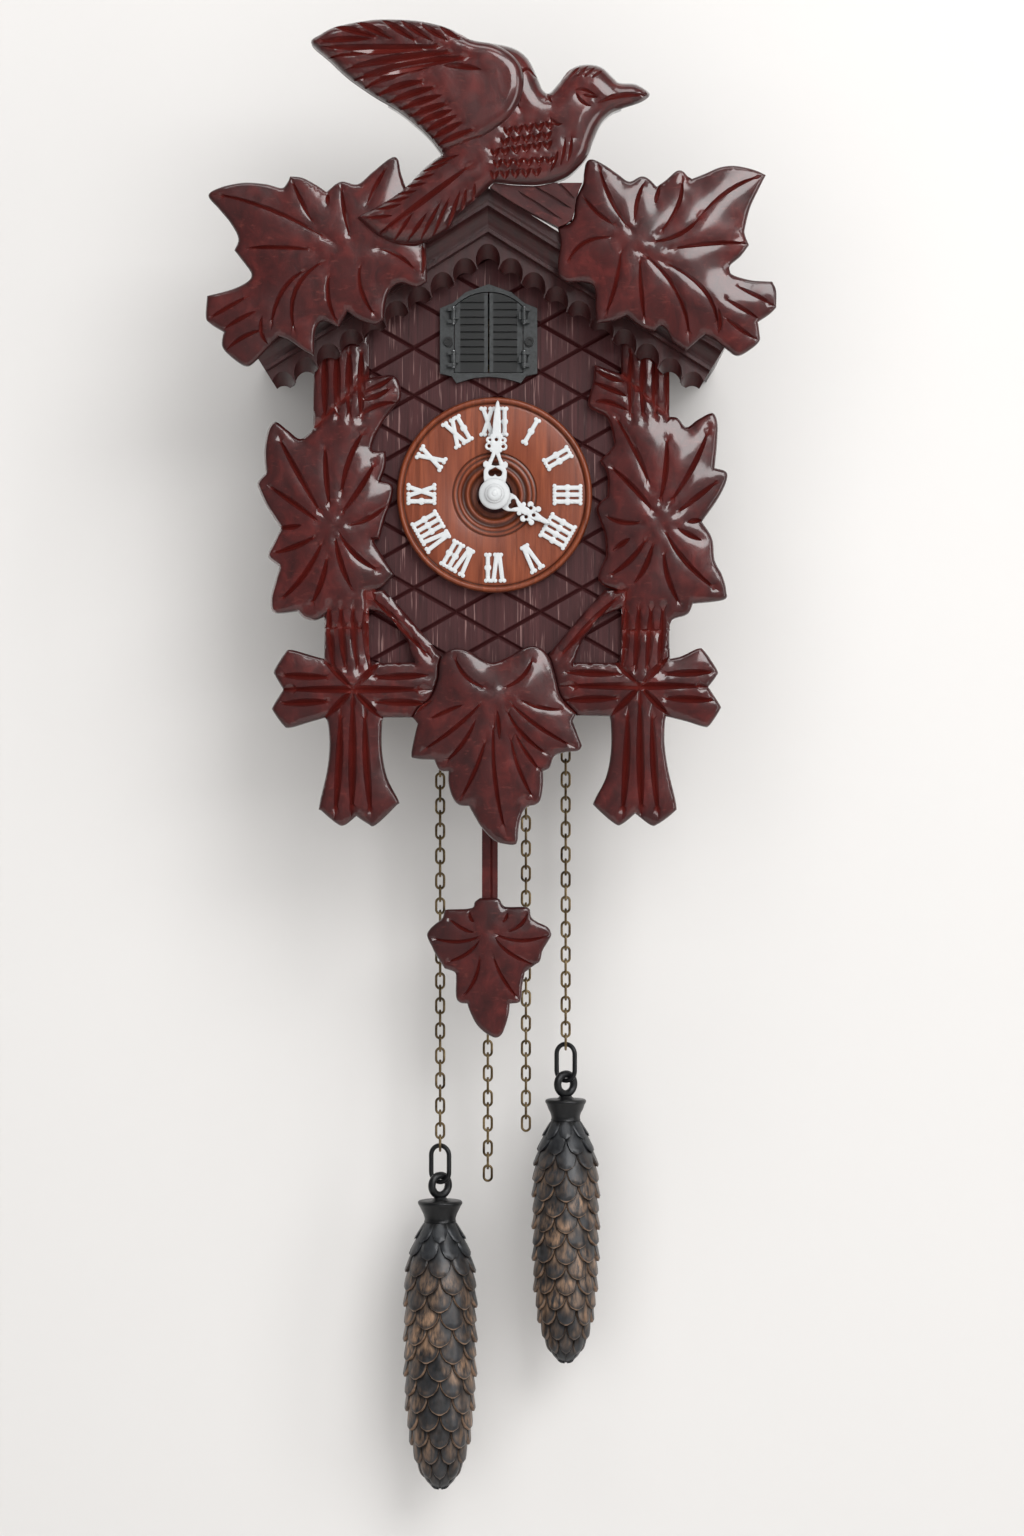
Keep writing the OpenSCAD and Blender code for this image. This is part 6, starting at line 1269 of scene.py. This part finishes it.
def hang_weight(side, x, top, length, radius):
    """A cone with its collar, its eye and the ring through the eye."""
    middle = at_face(x, CHAIN_Y, -top)
    rim, neck = radius * COLLAR_RIM, radius * NECK
    collar = lathe([
        (0.4, 1.2), (2.4, 1.2), (3.3, 0.2), (3.6, 0), (rim - 1.2, 0), (rim - 0.5, -0.15), (rim - 0.1, -0.5),
        (rim, -1.0), (rim - 0.1, -1.5), (rim - 0.6, -2.2), (neck + 1.5, -4), (neck + 0.7, -5.6),
        (neck + 0.3, -6.9), (neck + 0.2, -7.8), (neck + 0.5, -8.6), (neck, -9), (0.4, -9)], 56, middle)
    links = []
    # Height above the collar, outer length and width, wire, turn and numbers of points of the eye and the ring
    for height, long, wide, wire, turn, steps, sides in (
            (6, 11.1, 11.1, 3.1, 35, 20, 18), (14.75, 16.7, 9.9, 1.9, -25, 16, 14)):
        path = stadium((middle[0], middle[1], middle[2] + height * MM), long - wire, wide - wire,
                       math.radians(turn), steps)
        links.append(tube(path, wire / 2 * MM, sides))
    mesh = joined("weight_" + side + "_iron", [cone_weight(side, x, top, length, radius), collar] + links)
    piece(mesh, "weight_iron", side + "_weight", ["weight_" + side], 45)


hang_weight("left", -22.25, 281.5, 117, 14.8)
hang_weight("right", 28.54, 240.5, 107, 13.6)


# Wall, floor, lamps and camera


PALE = srgb(208, 206, 204)


def stage_sheet(name, corners, finish):
    """A pale sheet that belongs to the studio and not to the clock."""
    mesh = new_mesh(name, corners, [range(4)])
    mesh.materials.append(finish.material)
    sheet = bpy.data.objects.new(name, mesh)
    bpy.context.scene.collection.objects.link(sheet)


def pale_finish(name):
    finish = Finish(name, roughness=0.9, specular=0.1)
    finish.colour(PALE)
    return finish


def clear_from_behind(finish):
    """The finish left out on a sheet's back, so that the back of the clock can be seen through it."""
    choose = finish.node("ShaderNodeMixShader", {
        0: finish.node("ShaderNodeNewGeometry").outputs["Backfacing"], 1: finish.shader.outputs[0],
        2: finish.node("ShaderNodeBsdfTransparent").outputs[0]})
    finish.link(choose.outputs[0], finish.tree.nodes["Material Output"].inputs["Surface"])
    return finish


stage_sheet("wall", [(-2, 0.001, -1.2), (2, 0.001, -1.2), (2, 0.001, 1.6), (-2, 0.001, 1.6)],
            clear_from_behind(pale_finish("pale_wall")))
stage_sheet("floor", [(-2, -3, -1.2), (2, -3, -1.2), (2, 0.001, -1.2), (-2, 0.001, -1.2)], pale_finish("pale_floor"))


def lamp(name, place, aim, size, watts, shine=True):
    """An area light; one that doesn't shine is kept out of reflections."""
    data = bpy.data.lights.new(name, "AREA")
    data.shape = "RECTANGLE"
    data.size, data.size_y = size
    data.energy = watts
    made = bpy.data.objects.new(name, data)
    made.location = place
    made.rotation_euler = (Vector(aim) - Vector(place)).to_track_quat("-Z", "Y").to_euler()
    made.visible_glossy = shine
    bpy.context.scene.collection.objects.link(made)


lamp("key", (0.62, -1.5, 0.66), (0, 0, -0.1), (0.9, 0.9), 17)
lamp("side", (1.25, -1.0, -0.1), (0, 0, -0.05), (0.4, 1.1), 5)
lamp("fill", (-0.1, -2.4, -0.25), (0, 0, -0.2), (3.2, 3.2), 66, False)
lamp("top", (0.0, -0.8, 1.2), (0, -0.05, -0.1), (1.0, 0.4), 5)
world = bpy.data.worlds.new("studio")
world.use_nodes = True
world.node_tree.nodes["Background"].inputs["Color"].default_value = (1, 1, 1, 1)
world.node_tree.nodes["Background"].inputs["Strength"].default_value = 0.16
bpy.context.scene.world = world
bpy.context.scene.view_settings.view_transform = "Standard"

# Millimetres from the wall to the plane of the dial, from there to the camera, and from the middle of the
# dial to the middle of the picture; then the size of a pixel in that plane, and the picture's height
DIAL_PLANE = 90
CAMERA_BACK = 1500.0
CAMERA_X, CAMERA_Z = 6.825, -106.67
PIXEL = 0.39
PICTURE_H = 1536
SENSOR = 36
camera_data = bpy.data.cameras.new("camera")
camera_data.sensor_width = SENSOR
camera_data.lens = SENSOR * CAMERA_BACK / PIXEL / PICTURE_H
camera = bpy.data.objects.new("camera", camera_data)
camera.location = at_face(CAMERA_X, DIAL_PLANE + CAMERA_BACK, CAMERA_Z)
camera.rotation_euler = (math.radians(90), 0, 0)
bpy.context.scene.collection.objects.link(camera)
bpy.context.scene.camera = camera
